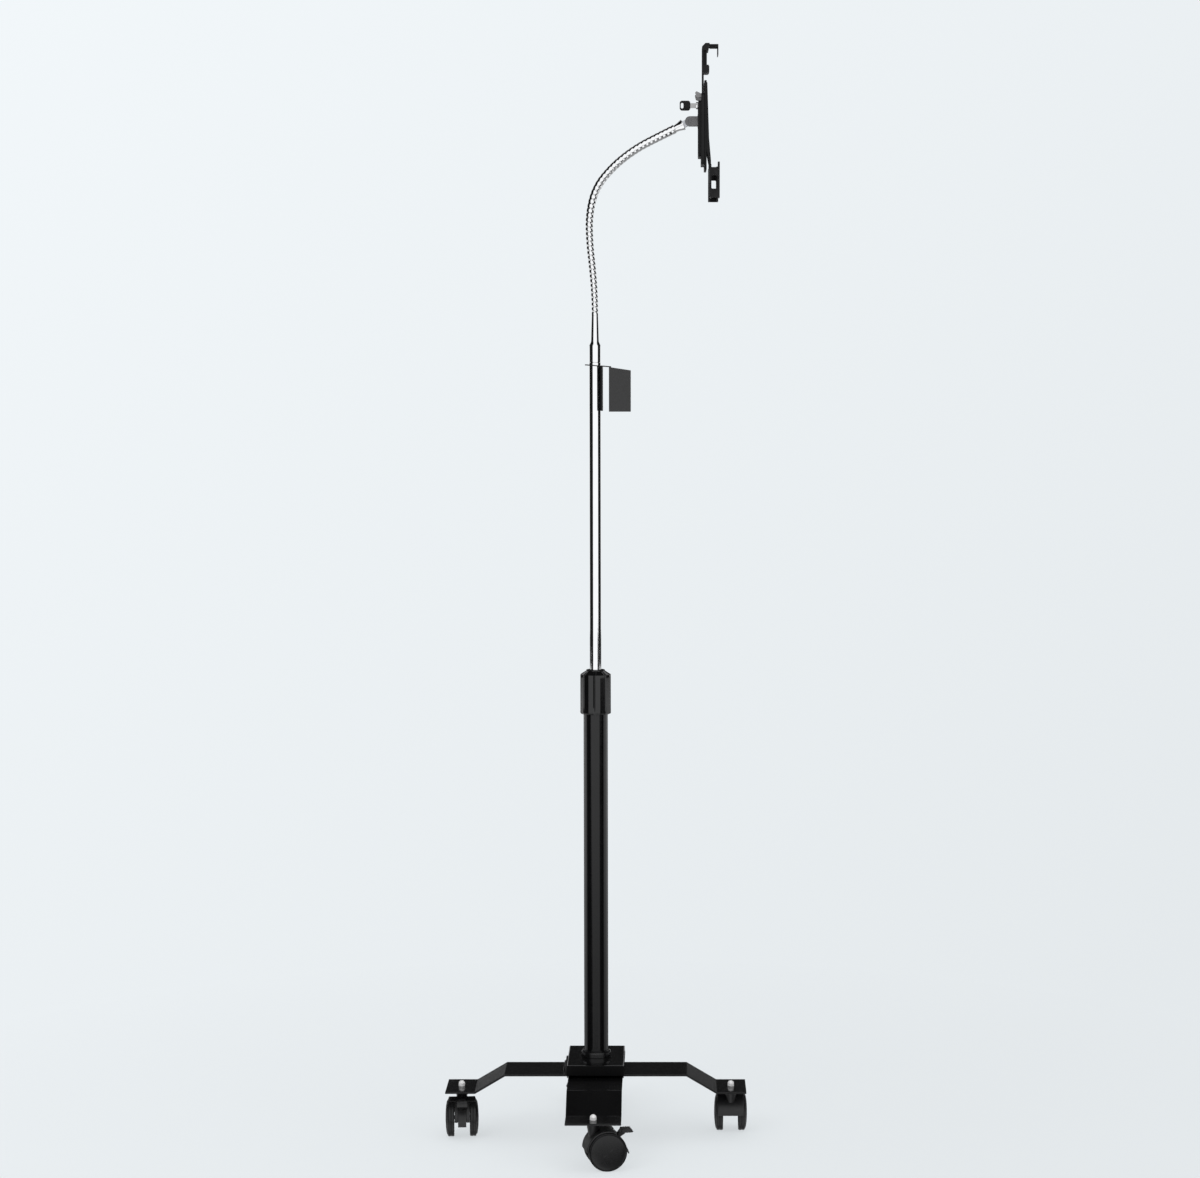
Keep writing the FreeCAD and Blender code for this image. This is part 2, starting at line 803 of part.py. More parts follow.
ferrule_waist = seam_height + ferrule_base_height + ferrule_chamfer_height
neck_start = ferrule_waist + ferrule_taper_height - neck_tuck


def neck_path():
    """Start, heading and turn of each curved link, headings measured from straight up."""
    x, z, heading = 0.0, neck_start, 0.0
    links = []
    for turn in neck_turns:
        links.append((x, z, heading, turn))
        chord = chord_length(turn)
        middle = math.radians(heading + turn / 2)
        x += chord * math.sin(middle)
        z += chord * math.cos(middle)
        heading += turn
    links.append((x, z, heading, 0.0))
    return links


def chord_length(turn):
    half = math.radians(turn) / 2
    return neck_link_length * (math.sin(half) / half if abs(half) > 1e-6 else 1.0)


def point_on_link(link, distance):
    """Place and heading at a distance along a link."""
    x, z, heading, turn = link
    part_turn = turn * distance / neck_link_length
    half = math.radians(part_turn) / 2
    chord = distance * (math.sin(half) / half if abs(half) > 1e-6 else 1.0)
    middle = math.radians(heading + part_turn / 2)
    return (vector(x + chord * math.sin(middle), 0, z + chord * math.cos(middle)),
            math.radians(heading + part_turn))


def crest_radius(index, distance):
    share = (index + distance / neck_link_length) / len(neck_turns)
    return neck_base_radius + (neck_head_radius - neck_base_radius) * share


def ball_radius_at(index):
    return crest_radius(index, 0.0) - rib_depth - ball_inset


def hoop(link, distance, radius):
    centre, heading = point_on_link(link, distance)
    along = vector(math.sin(heading), 0, math.cos(heading))
    circle = Part.Circle(centre, along, radius)
    circle.XAxis = vector(math.cos(heading), 0, -math.sin(heading))
    return Part.Wire([circle.toShape()])


def ruled_body(hoops):
    return Part.makeLoft(hoops, True, True)


def neck_link(link, index):
    """One curved link: ribs round a bore, a ball seat at its foot and a ball at its head."""
    last = index == len(neck_turns) - 1
    pitch = neck_link_length / ribs_per_link
    ribs = []
    for number in range(ribs_per_link):
        start = number * pitch
        end = start + pitch
        if number == ribs_per_link - 1 and not last:
            end = neck_link_length - link_gap
        crest = crest_radius(index, start + pitch / 2)
        valley = crest - rib_depth
        middle = start + pitch / 2
        flat = rib_flat * pitch / 2
        top_end = min(middle + flat, end - rib_run_out)
        ribs.append(ruled_body([hoop(link, start, valley), hoop(link, middle - flat, crest),
                                hoop(link, top_end, crest), hoop(link, end, valley)]))
    body = ribs[0].fuse(ribs[1:])
    foot = point_on_link(link, 0.0)[0]
    body = body.cut(Part.makeSphere(ball_radius_at(index) + running_fit, foot))
    bore_end = neck_link_length - link_gap - neck_bore_stop
    body = body.cut(ruled_body([hoop(link, bore_end * third / 3, neck_bore_radius)
                                for third in range(4)]))
    if not last:
        radius = ball_radius_at(index + 1)
        head = point_on_link(link, neck_link_length)[0]
        root = point_on_link(link, neck_link_length - link_gap - ball_root)[0]
        along = head - root
        stem = rod(radius * stem_share, root, along, along.Length)
        body = body.fuse([stem, Part.makeSphere(radius, head)])
        body = body.cut(rod(ball_bore_radius, root - along, along, along.Length * 4))
    return one_solid(body)


def lower_ferrule():
    top = neck_start - link_gap
    shoulder = seam_height + ferrule_base_height
    points = [(0, seam_height), (ferrule_base_radius, seam_height), (ferrule_base_radius, shoulder),
              (ferrule_waist_radius, ferrule_waist), (ferrule_top_radius, top), (0, top)]
    plug_foot = seam_height - ferrule_plug_length
    plug = upright(upper_bore - running_fit, plug_foot, seam_height)
    radius = ball_radius_at(0)
    stem = upright(radius * stem_share, top - ball_root, neck_start)
    ball = Part.makeSphere(radius, vector(0, 0, neck_start))
    ferrule = turned(points).fuse([plug, stem, ball])
    ferrule = ferrule.cut(upright(ball_bore_radius, plug_foot - 1, neck_start + 2 * radius))
    return one_solid(ferrule.cut(upright(neck_bore_radius, plug_foot - 1, top - 1.5 * ball_root)))


neck_end = neck_path()[-1]
head_heading = math.radians(neck_end[2])
head_direction = vector(math.sin(head_heading), 0, math.cos(head_heading))
flare_start = vector(neck_end[0], 0, neck_end[1])
pivot = flare_start + head_direction * pivot_reach


def pin_hole():
    return rod(knuckle_pin_radius, pivot - vector(0, knuckle_width, 0), vector(0, 1, 0),
               2 * knuckle_width)


def upper_ferrule():
    """The flared ferrule with the flat tongue that the knuckle straddles."""
    flare = Part.makeCone(flare_small_radius, flare_mouth_radius, flare_length, flare_start,
                          head_direction)
    length = pivot_reach - flare_length + seat_overrun
    tongue = Part.makeBox(length, tongue_thickness, tongue_height,
                          vector(0, -tongue_thickness / 2, -tongue_height / 2))
    tongue = tongue.fuse(Part.makeCylinder(tongue_height / 2, tongue_thickness,
                                           vector(length, -tongue_thickness / 2, 0),
                                           vector(0, 1, 0)))
    turn = math.degrees(head_heading) - 90
    tongue.rotate(vector(0, 0, 0), vector(0, 1, 0), turn)
    tongue.translate(pivot - head_direction * length)
    ferrule = flare.fuse(tongue)
    return one_solid(ferrule.cut(pin_hole()))


# Knuckle and swivel

def knuckle():
    half = knuckle_width / 2
    radius = knuckle_height / 2
    body = block((pivot.x, -half, pivot.z - radius),
                 (pivot.x + knuckle_reach, half, pivot.z + radius))
    body = body.fuse(rod(radius, pivot - vector(0, half, 0), vector(0, 1, 0), 2 * half))
    gap = tongue_thickness / 2 + 2 * running_fit
    slot = block((pivot.x - 2 * radius, -gap, pivot.z - 2 * radius),
                 (pivot.x + knuckle_slot_depth, gap, pivot.z + 2 * radius))
    body = body.cut(slot).cut(pin_hole())
    bore = rod(swivel_bolt_radius, pivot, vector(1, 0, 0), 2 * knuckle_reach)
    return one_solid(body.cut(bore))


def knuckle_pin():
    half = knuckle_width / 2 - knuckle_pin_inset
    return rod(knuckle_pin_radius, pivot - vector(0, half, 0), vector(0, 1, 0), 2 * half)


knuckle_end = pivot.x + knuckle_reach
cover_back = knuckle_end + cover_stand_off
housing_back = cover_back + cover_depth
housing_front = housing_back + housing_depth
track_front = housing_front + track_depth
arm_back = housing_back + arm_back_gap
arm_front = arm_back + arm_thickness
strip_back = track_front + strip_stand_off
strip_front = strip_back + strip_thickness
lip_back = strip_front + tray_depth
lip_front = lip_back + lip_thickness
stop_front = arm_back + stop_depth
head_front = arm_back + head_depth
hook_front = arm_back + hook_reach

cover_bottom = pivot.z - cover_drop
cover_top = pivot.z + cover_rise
housing_bottom = cover_bottom - housing_below_cover
housing_top = cover_top + housing_above_cover
track_bottom = housing_bottom - track_below_housing
track_top = housing_top + track_above_housing
lock_height = cover_top - lock_inset
head_top = track_top + head_above_track
head_bottom = head_top - head_height
web_bottom = head_bottom - web_height
stop_bottom = web_bottom - stop_height
hook_top = head_top - hook_step
strip_bottom = track_bottom - strip_below_track
strip_top = strip_bottom + strip_height
tray_top = strip_bottom - strip_above_tray
tray_bottom = tray_top - tray_skirt


def swivel_bolt():
    start = knuckle_end - swivel_bolt_grip
    nut_start = arm_front - swivel_nut_height
    shank = rod(swivel_bolt_radius, vector(start, 0, pivot.z), vector(1, 0, 0), nut_start - start + 1)
    nut = rod(swivel_nut_radius, vector(nut_start, 0, pivot.z), vector(1, 0, 0), swivel_nut_height)
    return one_solid(shank.fuse(nut))


def friction_washer():
    start = knuckle_end
    length = cover_back + friction_washer_height - start - running_fit
    washer = rod(friction_washer_radius, vector(start, 0, pivot.z), vector(1, 0, 0), length)
    hole = rod(swivel_bolt_radius, vector(start - 1, 0, pivot.z), vector(1, 0, 0), length + 2)
    return washer.cut(hole)


# Tablet holder

def swivel_hole(radius):
    return rod(radius, pivot, vector(1, 0, 0), 2 * (track_front - pivot.x))


def lock_hole():
    start = cover_back - lock_rim_height
    return rod(lock_barrel_radius + running_fit, vector(start, 0, lock_height),
               vector(1, 0, 0), arm_back - running_fit - start)


def screw_places():
    middle = (cover_bottom + cover_top) / 2
    for y_sign in (-1, 1):
        for z_sign in (-1, 1):
            yield y_sign * screw_spread_y, middle + z_sign * screw_spread_z


def screw_holes(shape):
    for y, z in screw_places():
        hole = rod(screw_radius, vector(cover_back - 1, y, z), vector(1, 0, 0),
                   cover_depth + housing_depth)
        shape = shape.cut(hole)
    return shape


def back_cover():
    plate = rounded_facing_plate(cover_half_width, cover_bottom, cover_top, cover_back,
                                 housing_back, plate_corner_radius)
    rear = [edge for edge in plate.Edges
            if abs(edge.BoundBox.XMin - cover_back) < 0.01 and abs(edge.BoundBox.XMax - cover_back) < 0.01]
    plate = plate.makeFillet(cover_edge_radius, rear)
    recess = rod(friction_washer_radius + running_fit, vector(cover_back - 1, 0, pivot.z),
                 vector(1, 0, 0), friction_washer_height + 1)
    plate = plate.cut(recess).cut(swivel_hole(swivel_bolt_radius + running_fit)).cut(lock_hole())
    for y, z in screw_places():
        head = rod(screw_head_radius + running_fit, vector(cover_back - 1, y, z), vector(1, 0, 0),
                   screw_head_height + 1)
        plate = plate.cut(head)
    return one_solid(screw_holes(plate))


def housing():
    """The middle plate, hollow where the arm slides, with a bent finger flap at its top."""
    plate = rounded_facing_plate(housing_half_width, housing_bottom, housing_top, housing_back,
                                 housing_front, plate_corner_radius)
    channel = block((arm_back - running_fit, -arm_half_width - running_fit,
                     housing_bottom + channel_floor),
                    (arm_front + running_fit, arm_half_width + running_fit, housing_top + 1))
    plate = plate.cut(channel).cut(swivel_hole(swivel_bolt_radius + running_fit)).cut(lock_hole())
    root = housing_top - flap_drop
    tip = root + flap_rise
    knee = housing_back - flap_reach
    outline = [(housing_back, root + 3 * flap_thickness), (knee, tip - 2 * flap_thickness),
               (knee - flap_thickness, tip - 3 * flap_thickness), (knee - flap_thickness / 4, root + 1),
               (knee + flap_thickness, root), (housing_back, root)]
    outer = housing_half_width - flap_inset
    flaps = [side_plate(outline, *y_span(sign, outer - flap_half_width, outer)) for sign in (-1, 1)]
    return one_solid(screw_holes(plate.fuse(flaps)))


def arm_track():
    plate = rounded_facing_plate(track_half_width, track_bottom, track_top, housing_front,
                                 track_front, plate_corner_radius)
    return one_solid(plate)


def upper_arm():
    """The sliding arm: forked spine, stop block, window web and the hooked head."""
    foot = cover_bottom + arm_foot_above_cover
    spine = block((arm_back, -arm_half_width, foot),
                  (arm_front, arm_half_width, head_bottom + head_height / 2))
    spine = spine.cut(block((arm_back - 1, -arm_slot_half, foot - 1),
                            (arm_front + 1, arm_slot_half, cover_top - arm_slot_margin)))
    head_outline = [(arm_back, head_bottom), (head_front - head_front_slant, head_bottom),
                    (head_front, head_top), (arm_back + head_chamfer, head_top),
                    (arm_back, head_top - head_chamfer)]
    head = side_plate(head_outline, -arm_half_width, arm_half_width)
    web = block((arm_front - seat_overrun, -web_half_width, web_bottom - 1),
                (arm_back + web_depth, web_half_width, head_bottom + 1))
    stop = block((arm_front - seat_overrun, -arm_half_width, stop_bottom),
                 (stop_front, arm_half_width, web_bottom))
    roof = block((head_front - 2 * head_front_slant, -hook_half_width, hook_top - hook_roof),
                 (hook_front, hook_half_width, hook_top))
    lip = block((hook_front - hook_lip, -hook_half_width, hook_top - hook_drop),
                (hook_front, hook_half_width, hook_top))
    return one_solid(spine.fuse([head, web, stop, roof, lip]))


def upper_pads():
    """Rubber strips under the hook and on the front of the stop block."""
    hook_bottom = hook_top - hook_roof
    under = block((head_front + pad_margin, -hook_half_width + 1, hook_bottom - pad_thickness),
                  (hook_front - hook_lip - pad_margin, hook_half_width - 1, hook_bottom))
    front = block((stop_front, -hook_half_width, stop_bottom + 1),
                  (stop_front + pad_thickness, hook_half_width, web_bottom - 1))
    return Part.makeCompound([under, front])


def y_span(sign, inner, outer):
    return (inner, outer) if sign > 0 else (-outer, -inner)


def lower_bracket():
    """The fixed carrier with a cross strip and two corner trays that have windowed ends."""
    back = track_front + carrier_gap
    top = track_top - carrier_below_track
    joggle = strip_top + carrier_joggle_rise
    carrier = side_plate([(back, top), (track_front + carrier_top_depth, top),
                          (strip_back, strip_top + carrier_low_rise), (strip_front, joggle),
                          (strip_front, strip_top - 1), (strip_back, strip_top - 1),
                          (strip_back, joggle - carrier_joggle_step),
                          (back, joggle + carrier_joggle_run)],
                         -carrier_half_width, carrier_half_width)
    strip = block((strip_back, -corner_outer, strip_bottom), (strip_front, corner_outer, strip_top))
    return one_solid(carrier.fuse([strip] + corner_tray(-1) + corner_tray(1)))


def corner_tray(sign):
    low, high = y_span(sign, corner_inner, corner_outer)
    back_leg = block((strip_back, low, tray_bottom), (strip_front, high, strip_bottom + 1))
    floor = block((strip_back, low, tray_top - tray_thickness), (lip_front, high, tray_top))
    lip = block((lip_back, low, tray_bottom), (lip_front, high, tray_top + lip_height))
    outside = [edge for edge in lip.Edges
               if abs(edge.tangentAt(edge.FirstParameter).x) > 0.9
               and edge.CenterOfMass.z > tray_top + lip_height - 1]
    lip = lip.makeFillet(corner_round, outside)
    wall_low, wall_high = y_span(sign, corner_outer - corner_wall, corner_outer)
    wall = block((strip_back, wall_low, tray_bottom), (lip_front, wall_high, tray_top + wall_height))
    window_bottom = tray_top + window_rise
    window = block((strip_front, wall_low - 1, window_bottom),
                   (lip_back - window_margin, wall_high + 1, window_bottom + window_height))
    window_edges = [edge for edge in window.Edges
                    if abs(edge.tangentAt(edge.FirstParameter).y) > 0.9]
    wall = wall.cut(window.makeFillet(window_round, window_edges))
    return [back_leg, floor, lip, wall]


def lower_pads():
    """Rubber on the tray floors."""
    pads = []
    for sign in (-1, 1):
        low, high = y_span(sign, corner_inner + 1, corner_outer - corner_wall - pad_margin)
        pads.append(block((strip_front + pad_margin, low, tray_top),
                          (lip_back - pad_margin, high, tray_top + pad_thickness)))
    return Part.makeCompound(pads)


def lock_barrel():
    rim = rod(lock_rim_radius, vector(cover_back - lock_rim_height, 0, lock_height),
              vector(1, 0, 0), lock_rim_height - running_fit)
    body = rod(lock_barrel_radius, vector(cover_back - lock_rim_height, 0, lock_height),
               vector(1, 0, 0), lock_rim_height + cover_depth + arm_back_gap - 3 * running_fit)
    slot = key_shank(running_fit)
    return one_solid(rim.fuse(body).cut(slot))


def key_shank(extra):
    half = key_shank_thickness / 2 + extra
    tall = key_shank_height / 2 + extra
    tip = cover_back - lock_rim_height + key_insert + extra
    return block((cover_back - lock_rim_height - key_shank_reach, -half, lock_height - tall),
                 (tip, half, lock_height + tall))


def key():
    """A flat key, its blade in the barrel and its rounded bow outside."""
    bow_front = cover_back - lock_rim_height - key_shank_reach
    half = key_bow_thickness / 2
    bow = block((bow_front - key_bow_length, -half, lock_height - key_bow_height / 2),
                (bow_front + key_bow_overlap, half, lock_height + key_bow_height / 2))
    corners = [edge for edge in bow.Edges if abs(edge.tangentAt(edge.FirstParameter).y) > 0.9]
    bow = bow.makeFillet(key_corner, corners)
    left = bow_front - key_bow_length + key_hole_inset
    hole = block((left, -half - 1, lock_height - key_hole_height / 2),
                 (left + key_hole_width, half + 1, lock_height + key_hole_height / 2))
    corners = [edge for edge in hole.Edges if abs(edge.tangentAt(edge.FirstParameter).y) > 0.9]
    bow = bow.cut(hole.makeFillet(key_hole_width / 2 - key_hole_flat, corners))
    return one_solid(bow.fuse(key_shank(0.0)))


def cover_screws():
    seat = cover_back + screw_head_sunk
    cross_end = cover_back + screw_cross_depth
    screws = []
    for y, z in screw_places():
        head = rod(screw_head_radius, vector(seat, y, z), vector(1, 0, 0),
                   screw_head_height - screw_head_sunk)
        shank = rod(screw_radius - running_fit, vector(seat, y, z), vector(1, 0, 0),
                    housing_front - screw_tip_gap - seat)
        screw = head.fuse(shank)
        for half_y, half_z in ((screw_cross_half, screw_cross_width / 2),
                               (screw_cross_width / 2, screw_cross_half)):
            screw = screw.cut(block((cover_back - 1, y - half_y, z - half_z),
                                    (cross_end, y + half_y, z + half_z)))
        screws.append(one_solid(screw))
    return Part.makeCompound(screws)


def neck():
    save("lower_ferrule", lower_ferrule())
    for index, link in enumerate(neck_path()[:-1]):
        save("neck_link_" + str(index + 1), neck_link(link, index))
    save("upper_ferrule", upper_ferrule())


os.makedirs("parts", exist_ok=True)

casters()
save("side_bar", side_bar())
save("front_bar", front_bar())
save("hub_cover", hub_cover())
save("pole_socket", pole_socket())
save("hub_bolt", hub_bolt())
save("lower_tube", lower_tube())
save("lock_collet", lock_collet())
save("lock_collar", lock_collar())
save("upper_tube", upper_tube())
save("tube_glide", tube_glide())
save("pocket_bracket", pocket_bracket())
save("accessory_pocket", accessory_pocket())
neck()
save("knuckle", knuckle())
save("knuckle_pin", knuckle_pin())
save("swivel_bolt", swivel_bolt())
save("friction_washer", friction_washer())
save("back_cover", back_cover())
save("housing", housing())
save("arm_track", arm_track())
save("upper_arm", upper_arm())
save("upper_pads", upper_pads())
save("lower_bracket", lower_bracket())
save("lower_pads", lower_pads())
save("lock_barrel", lock_barrel())
save("key", key())
save("cover_screws", cover_screws())
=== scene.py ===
import json
import math

import bmesh
import bpy
from mathutils import Matrix, Vector

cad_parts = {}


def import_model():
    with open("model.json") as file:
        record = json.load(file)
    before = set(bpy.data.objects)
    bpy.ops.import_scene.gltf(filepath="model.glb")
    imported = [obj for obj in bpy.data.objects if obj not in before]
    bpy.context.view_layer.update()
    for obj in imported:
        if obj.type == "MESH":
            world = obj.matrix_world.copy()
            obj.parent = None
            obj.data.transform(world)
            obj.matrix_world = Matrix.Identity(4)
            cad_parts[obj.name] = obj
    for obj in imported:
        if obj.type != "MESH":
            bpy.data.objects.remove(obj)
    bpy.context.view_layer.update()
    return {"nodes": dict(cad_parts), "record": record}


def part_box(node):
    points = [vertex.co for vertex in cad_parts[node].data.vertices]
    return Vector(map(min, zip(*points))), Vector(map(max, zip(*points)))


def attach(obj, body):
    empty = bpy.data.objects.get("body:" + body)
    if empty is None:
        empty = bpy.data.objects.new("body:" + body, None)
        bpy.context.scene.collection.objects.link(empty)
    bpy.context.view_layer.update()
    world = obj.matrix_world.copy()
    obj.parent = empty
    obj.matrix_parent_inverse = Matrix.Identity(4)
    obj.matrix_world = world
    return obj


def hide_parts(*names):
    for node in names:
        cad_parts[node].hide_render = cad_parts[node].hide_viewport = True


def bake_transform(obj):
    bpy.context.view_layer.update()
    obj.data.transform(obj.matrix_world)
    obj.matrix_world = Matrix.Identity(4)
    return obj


# Looks of the gooseneck floor stand. Outlines are in millimetres and are scaled to metres as they
# are made. The shapes follow the fixed frame: same axes, same places.

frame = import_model()
MM = 0.001
SLOTS = {row["node"]: row["material_slot"] for row in frame["record"]["subparts"]}
BODY_OF = {node: body for body, nodes in frame["record"]["behaviour"]["bodies"].items()
           for node in nodes}


# Materials

# Slow patches in colour, as a noise scale, and the gloss's specks as a share of the grain's scale
BLOTCH_SCALE = 14.0
SPECK_SHARE = 0.35
# How rough the noise itself is
NOISE_ROUGHNESS = 0.55
# How far the grain stands out, in metres
GRAIN_HEIGHT = 0.0004
# Pointiness of an edge where the lighter edge begins and where it is full: wear, and on the socket
# partly a painted highlight
WEAR_AND_SHEEN_FROM = 0.52
WEAR_AND_SHEEN_TO = 0.62
# A lighter edge's colour is the surface's own, times the gain, plus the lift. It is wear, and on the
# socket it is partly a painted highlight
WORN_AND_SHEEN_GAIN = 2.5
WORN_AND_SHEEN_LIFT = 0.03


def shader(name, color, rough, metallic, specular):
    material = bpy.data.materials.new(name)
    material.use_nodes = True
    bsdf = material.node_tree.nodes["Principled BSDF"]
    bsdf.inputs["Base Color"].default_value = (*color, 1)
    bsdf.inputs["Roughness"].default_value = rough
    bsdf.inputs["Metallic"].default_value = metallic
    bsdf.inputs["Specular IOR Level"].default_value = specular
    return material, material.node_tree, bsdf


def node(tree, kind, **values):
    """A new shader node. A value that isn't a property of the node goes to its input of that name."""
    made = tree.nodes.new(kind)
    for key, value in values.items():
        if hasattr(made, key):
            setattr(made, key, value)
        else:
            made.inputs[key.replace("_", " ")].default_value = value
    return made


def noise(tree, scale, detail, stretch=(1, 1, 1)):
    coords = node(tree, "ShaderNodeTexCoord")
    mapping = node(tree, "ShaderNodeMapping")
    mapping.inputs["Scale"].default_value = stretch
    tree.links.new(coords.outputs["Object"], mapping.inputs["Vector"])
    made = node(tree, "ShaderNodeTexNoise", Scale=scale, Detail=detail,
                Roughness=NOISE_ROUGHNESS)
    tree.links.new(mapping.outputs["Vector"], made.inputs["Vector"])
    return made


def spread(tree, source, low, high, from_low=0.3, from_high=0.7):
    """Maps a value onto low to high. Most of a noise lies between 0.3 and 0.7."""
    made = node(tree, "ShaderNodeMapRange")
    made.inputs["From Min"].default_value = from_low
    made.inputs["From Max"].default_value = from_high
    made.inputs["To Min"].default_value = low
    made.inputs["To Max"].default_value = high
    tree.links.new(source, made.inputs["Value"])
    return made.outputs["Result"]


def finish(name, color, rough, metallic=0.0, specular=0.5, grain=900.0, depth=0.03, vary=0.25,
           rough_vary=0.15, stretch=(1, 1, 1), wear_and_sheen=0.0):
    """A surface with a fine grain in its bump, slow patches in colour, specks in gloss, and lighter
    edges: worn, and on the socket partly a painted highlight."""
    material, tree, bsdf = shader(name, color, rough, metallic, specular)
    links = tree.links
    fine = noise(tree, grain, 4.0, stretch)
    slow = noise(tree, BLOTCH_SCALE, 4.0)
    speck = noise(tree, grain * SPECK_SHARE, 2.0, stretch)
    light = tuple(min(1.0, c * (1 + vary)) for c in color)
    dark = tuple(c * (1 - vary) for c in color)
    patches = node(tree, "ShaderNodeMix", data_type="RGBA")
    patches.inputs[6].default_value = (*dark, 1)
    patches.inputs[7].default_value = (*light, 1)
    links.new(spread(tree, slow.outputs["Fac"], 0.0, 1.0), patches.inputs["Factor"])
    color_out = patches.outputs[2]
    if wear_and_sheen:
        geometry = node(tree, "ShaderNodeNewGeometry")
        edge = spread(tree, geometry.outputs["Pointiness"], 0.0, wear_and_sheen, WEAR_AND_SHEEN_FROM, WEAR_AND_SHEEN_TO)
        worn_and_sheen = node(tree, "ShaderNodeMix", data_type="RGBA")
        worn_and_sheen_color = [min(1.0, c * WORN_AND_SHEEN_GAIN + WORN_AND_SHEEN_LIFT) for c in color]
        worn_and_sheen.inputs[7].default_value = (*worn_and_sheen_color, 1)
        links.new(color_out, worn_and_sheen.inputs[6])
        links.new(edge, worn_and_sheen.inputs["Factor"])
        color_out = worn_and_sheen.outputs[2]
    links.new(color_out, bsdf.inputs["Base Color"])
    links.new(spread(tree, speck.outputs["Fac"], rough * (1 - rough_vary), rough * (1 + rough_vary)),
              bsdf.inputs["Roughness"])
    bump = node(tree, "ShaderNodeBump", Strength=depth, Distance=GRAIN_HEIGHT)
    links.new(fine.outputs["Fac"], bump.inputs["Height"])
    links.new(bump.outputs["Normal"], bsdf.inputs["Normal"])
    return material


# Each look: its colour and roughness, then the settings that finish takes
LOOKS = {
    "base_black": finish("base_black", (0.0028, 0.0028, 0.003), 0.13, specular=0.45, grain=420.0,
                         depth=0.05, wear_and_sheen=0.35),
    "tube_black": finish("tube_black", (0.004, 0.004, 0.0044), 0.12, specular=0.5, grain=520.0,
                         depth=0.05, wear_and_sheen=0.3),
    "bright_chrome": finish("bright_chrome", (0.97, 0.975, 0.98), 0.04, metallic=1.0, grain=700.0,
                            depth=0.02, vary=0.02, rough_vary=0.5, stretch=(1, 1, 0.2)),
    "zinc_steel": finish("zinc_steel", (0.52, 0.53, 0.56), 0.3, metallic=1.0, grain=1400.0,
                         depth=0.1, vary=0.12, rough_vary=0.3),
    "caster_black": finish("caster_black", (0.009, 0.009, 0.0095), 0.42, specular=0.5, grain=1500.0,
                           depth=0.16, wear_and_sheen=0.35),
    "wheel_black": finish("wheel_black", (0.0075, 0.0075, 0.0079), 0.3, specular=0.36, grain=1100.0,
                          depth=0.1, vary=0.2, wear_and_sheen=0.3),
    "collar_black": finish("collar_black", (0.0042, 0.0042, 0.0045), 0.09, specular=0.6, grain=1200.0,
                           depth=0.03, wear_and_sheen=0.2),
    "collet_white": finish("collet_white", (0.7, 0.69, 0.66), 0.45, grain=1500.0, depth=0.08,
                           vary=0.05),
    "pocket_grey": finish("pocket_grey", (0.028, 0.028, 0.0285), 0.5, specular=0.4, grain=1600.0,
                          depth=0.14, vary=0.1, wear_and_sheen=0.25),
    "knuckle_grey": finish("knuckle_grey", (0.155, 0.155, 0.16), 0.42, metallic=0.25, grain=1300.0,
                           depth=0.14, vary=0.08, wear_and_sheen=0.3),
    "holder_black": finish("holder_black", (0.005, 0.005, 0.0054), 0.36, specular=0.2,
                           grain=1700.0, depth=0.2, wear_and_sheen=0.3),
    "web_grey": finish("web_grey", (0.03, 0.03, 0.031), 0.45, grain=1500.0, depth=0.12),
    "pad_black": finish("pad_black", (0.016, 0.016, 0.016), 0.8, specular=0.25, grain=2400.0,
                        depth=0.3),
    "key_plastic": finish("key_plastic", (0.004, 0.004, 0.0043), 0.36, specular=0.14, grain=1300.0,
                          depth=0.12, wear_and_sheen=0.3),
    # Painted shade: a darker, less glossy copy of the base black for the hub cover's front face
    "hub_front_painted_shade": finish("hub_front_painted_shade", (0.0022, 0.0022, 0.0024), 0.3, specular=0.1, grain=420.0,
                        depth=0.05),
    # Its lighter edges are set strong: partly real wear, partly a painted highlight along the ring's
    # top edge
    "socket_black": finish("socket_black", (0.005, 0.005, 0.0054), 0.26, specular=0.7, grain=520.0,
                           depth=0.05, wear_and_sheen=0.6),
    "stem_nickel": finish("stem_nickel", (0.98, 0.98, 0.985), 0.4, metallic=0.1, grain=1200.0,
                          depth=0.08, vary=0.04, rough_vary=0.2),
    "flap_grey": finish("flap_grey", (0.27, 0.27, 0.275), 0.5, grain=1500.0, depth=0.1, vary=0.08),
    "key_steel": finish("key_steel", (0.42, 0.42, 0.42), 0.22, metallic=1.0, grain=1200.0,
                        depth=0.08, vary=0.06, stretch=(0.2, 1, 1)),
}
for name, piece in frame["nodes"].items():
    look = LOOKS[SLOTS[name]]
    if piece.data.materials:
        for index in range(len(piece.data.materials)):
            piece.data.materials[index] = look
    else:
        piece.data.materials.append(look)


# Mesh helpers

# Weight of large faces in the shading of rounded edges
NORMAL_WEIGHT = 80
# Points of a CAD mesh closer than this, in metres, are joined
WELD = 0.000002
# Neighbouring faces of a CAD mesh within this angle, in degrees, are one flat face
FLAT_ANGLE = 0.6
# The most that a rounded corner takes of the edges beside it
CORNER_SHARE = 0.45
# A radius below this, in millimetres, is on the axis
ON_AXIS = 1e-6


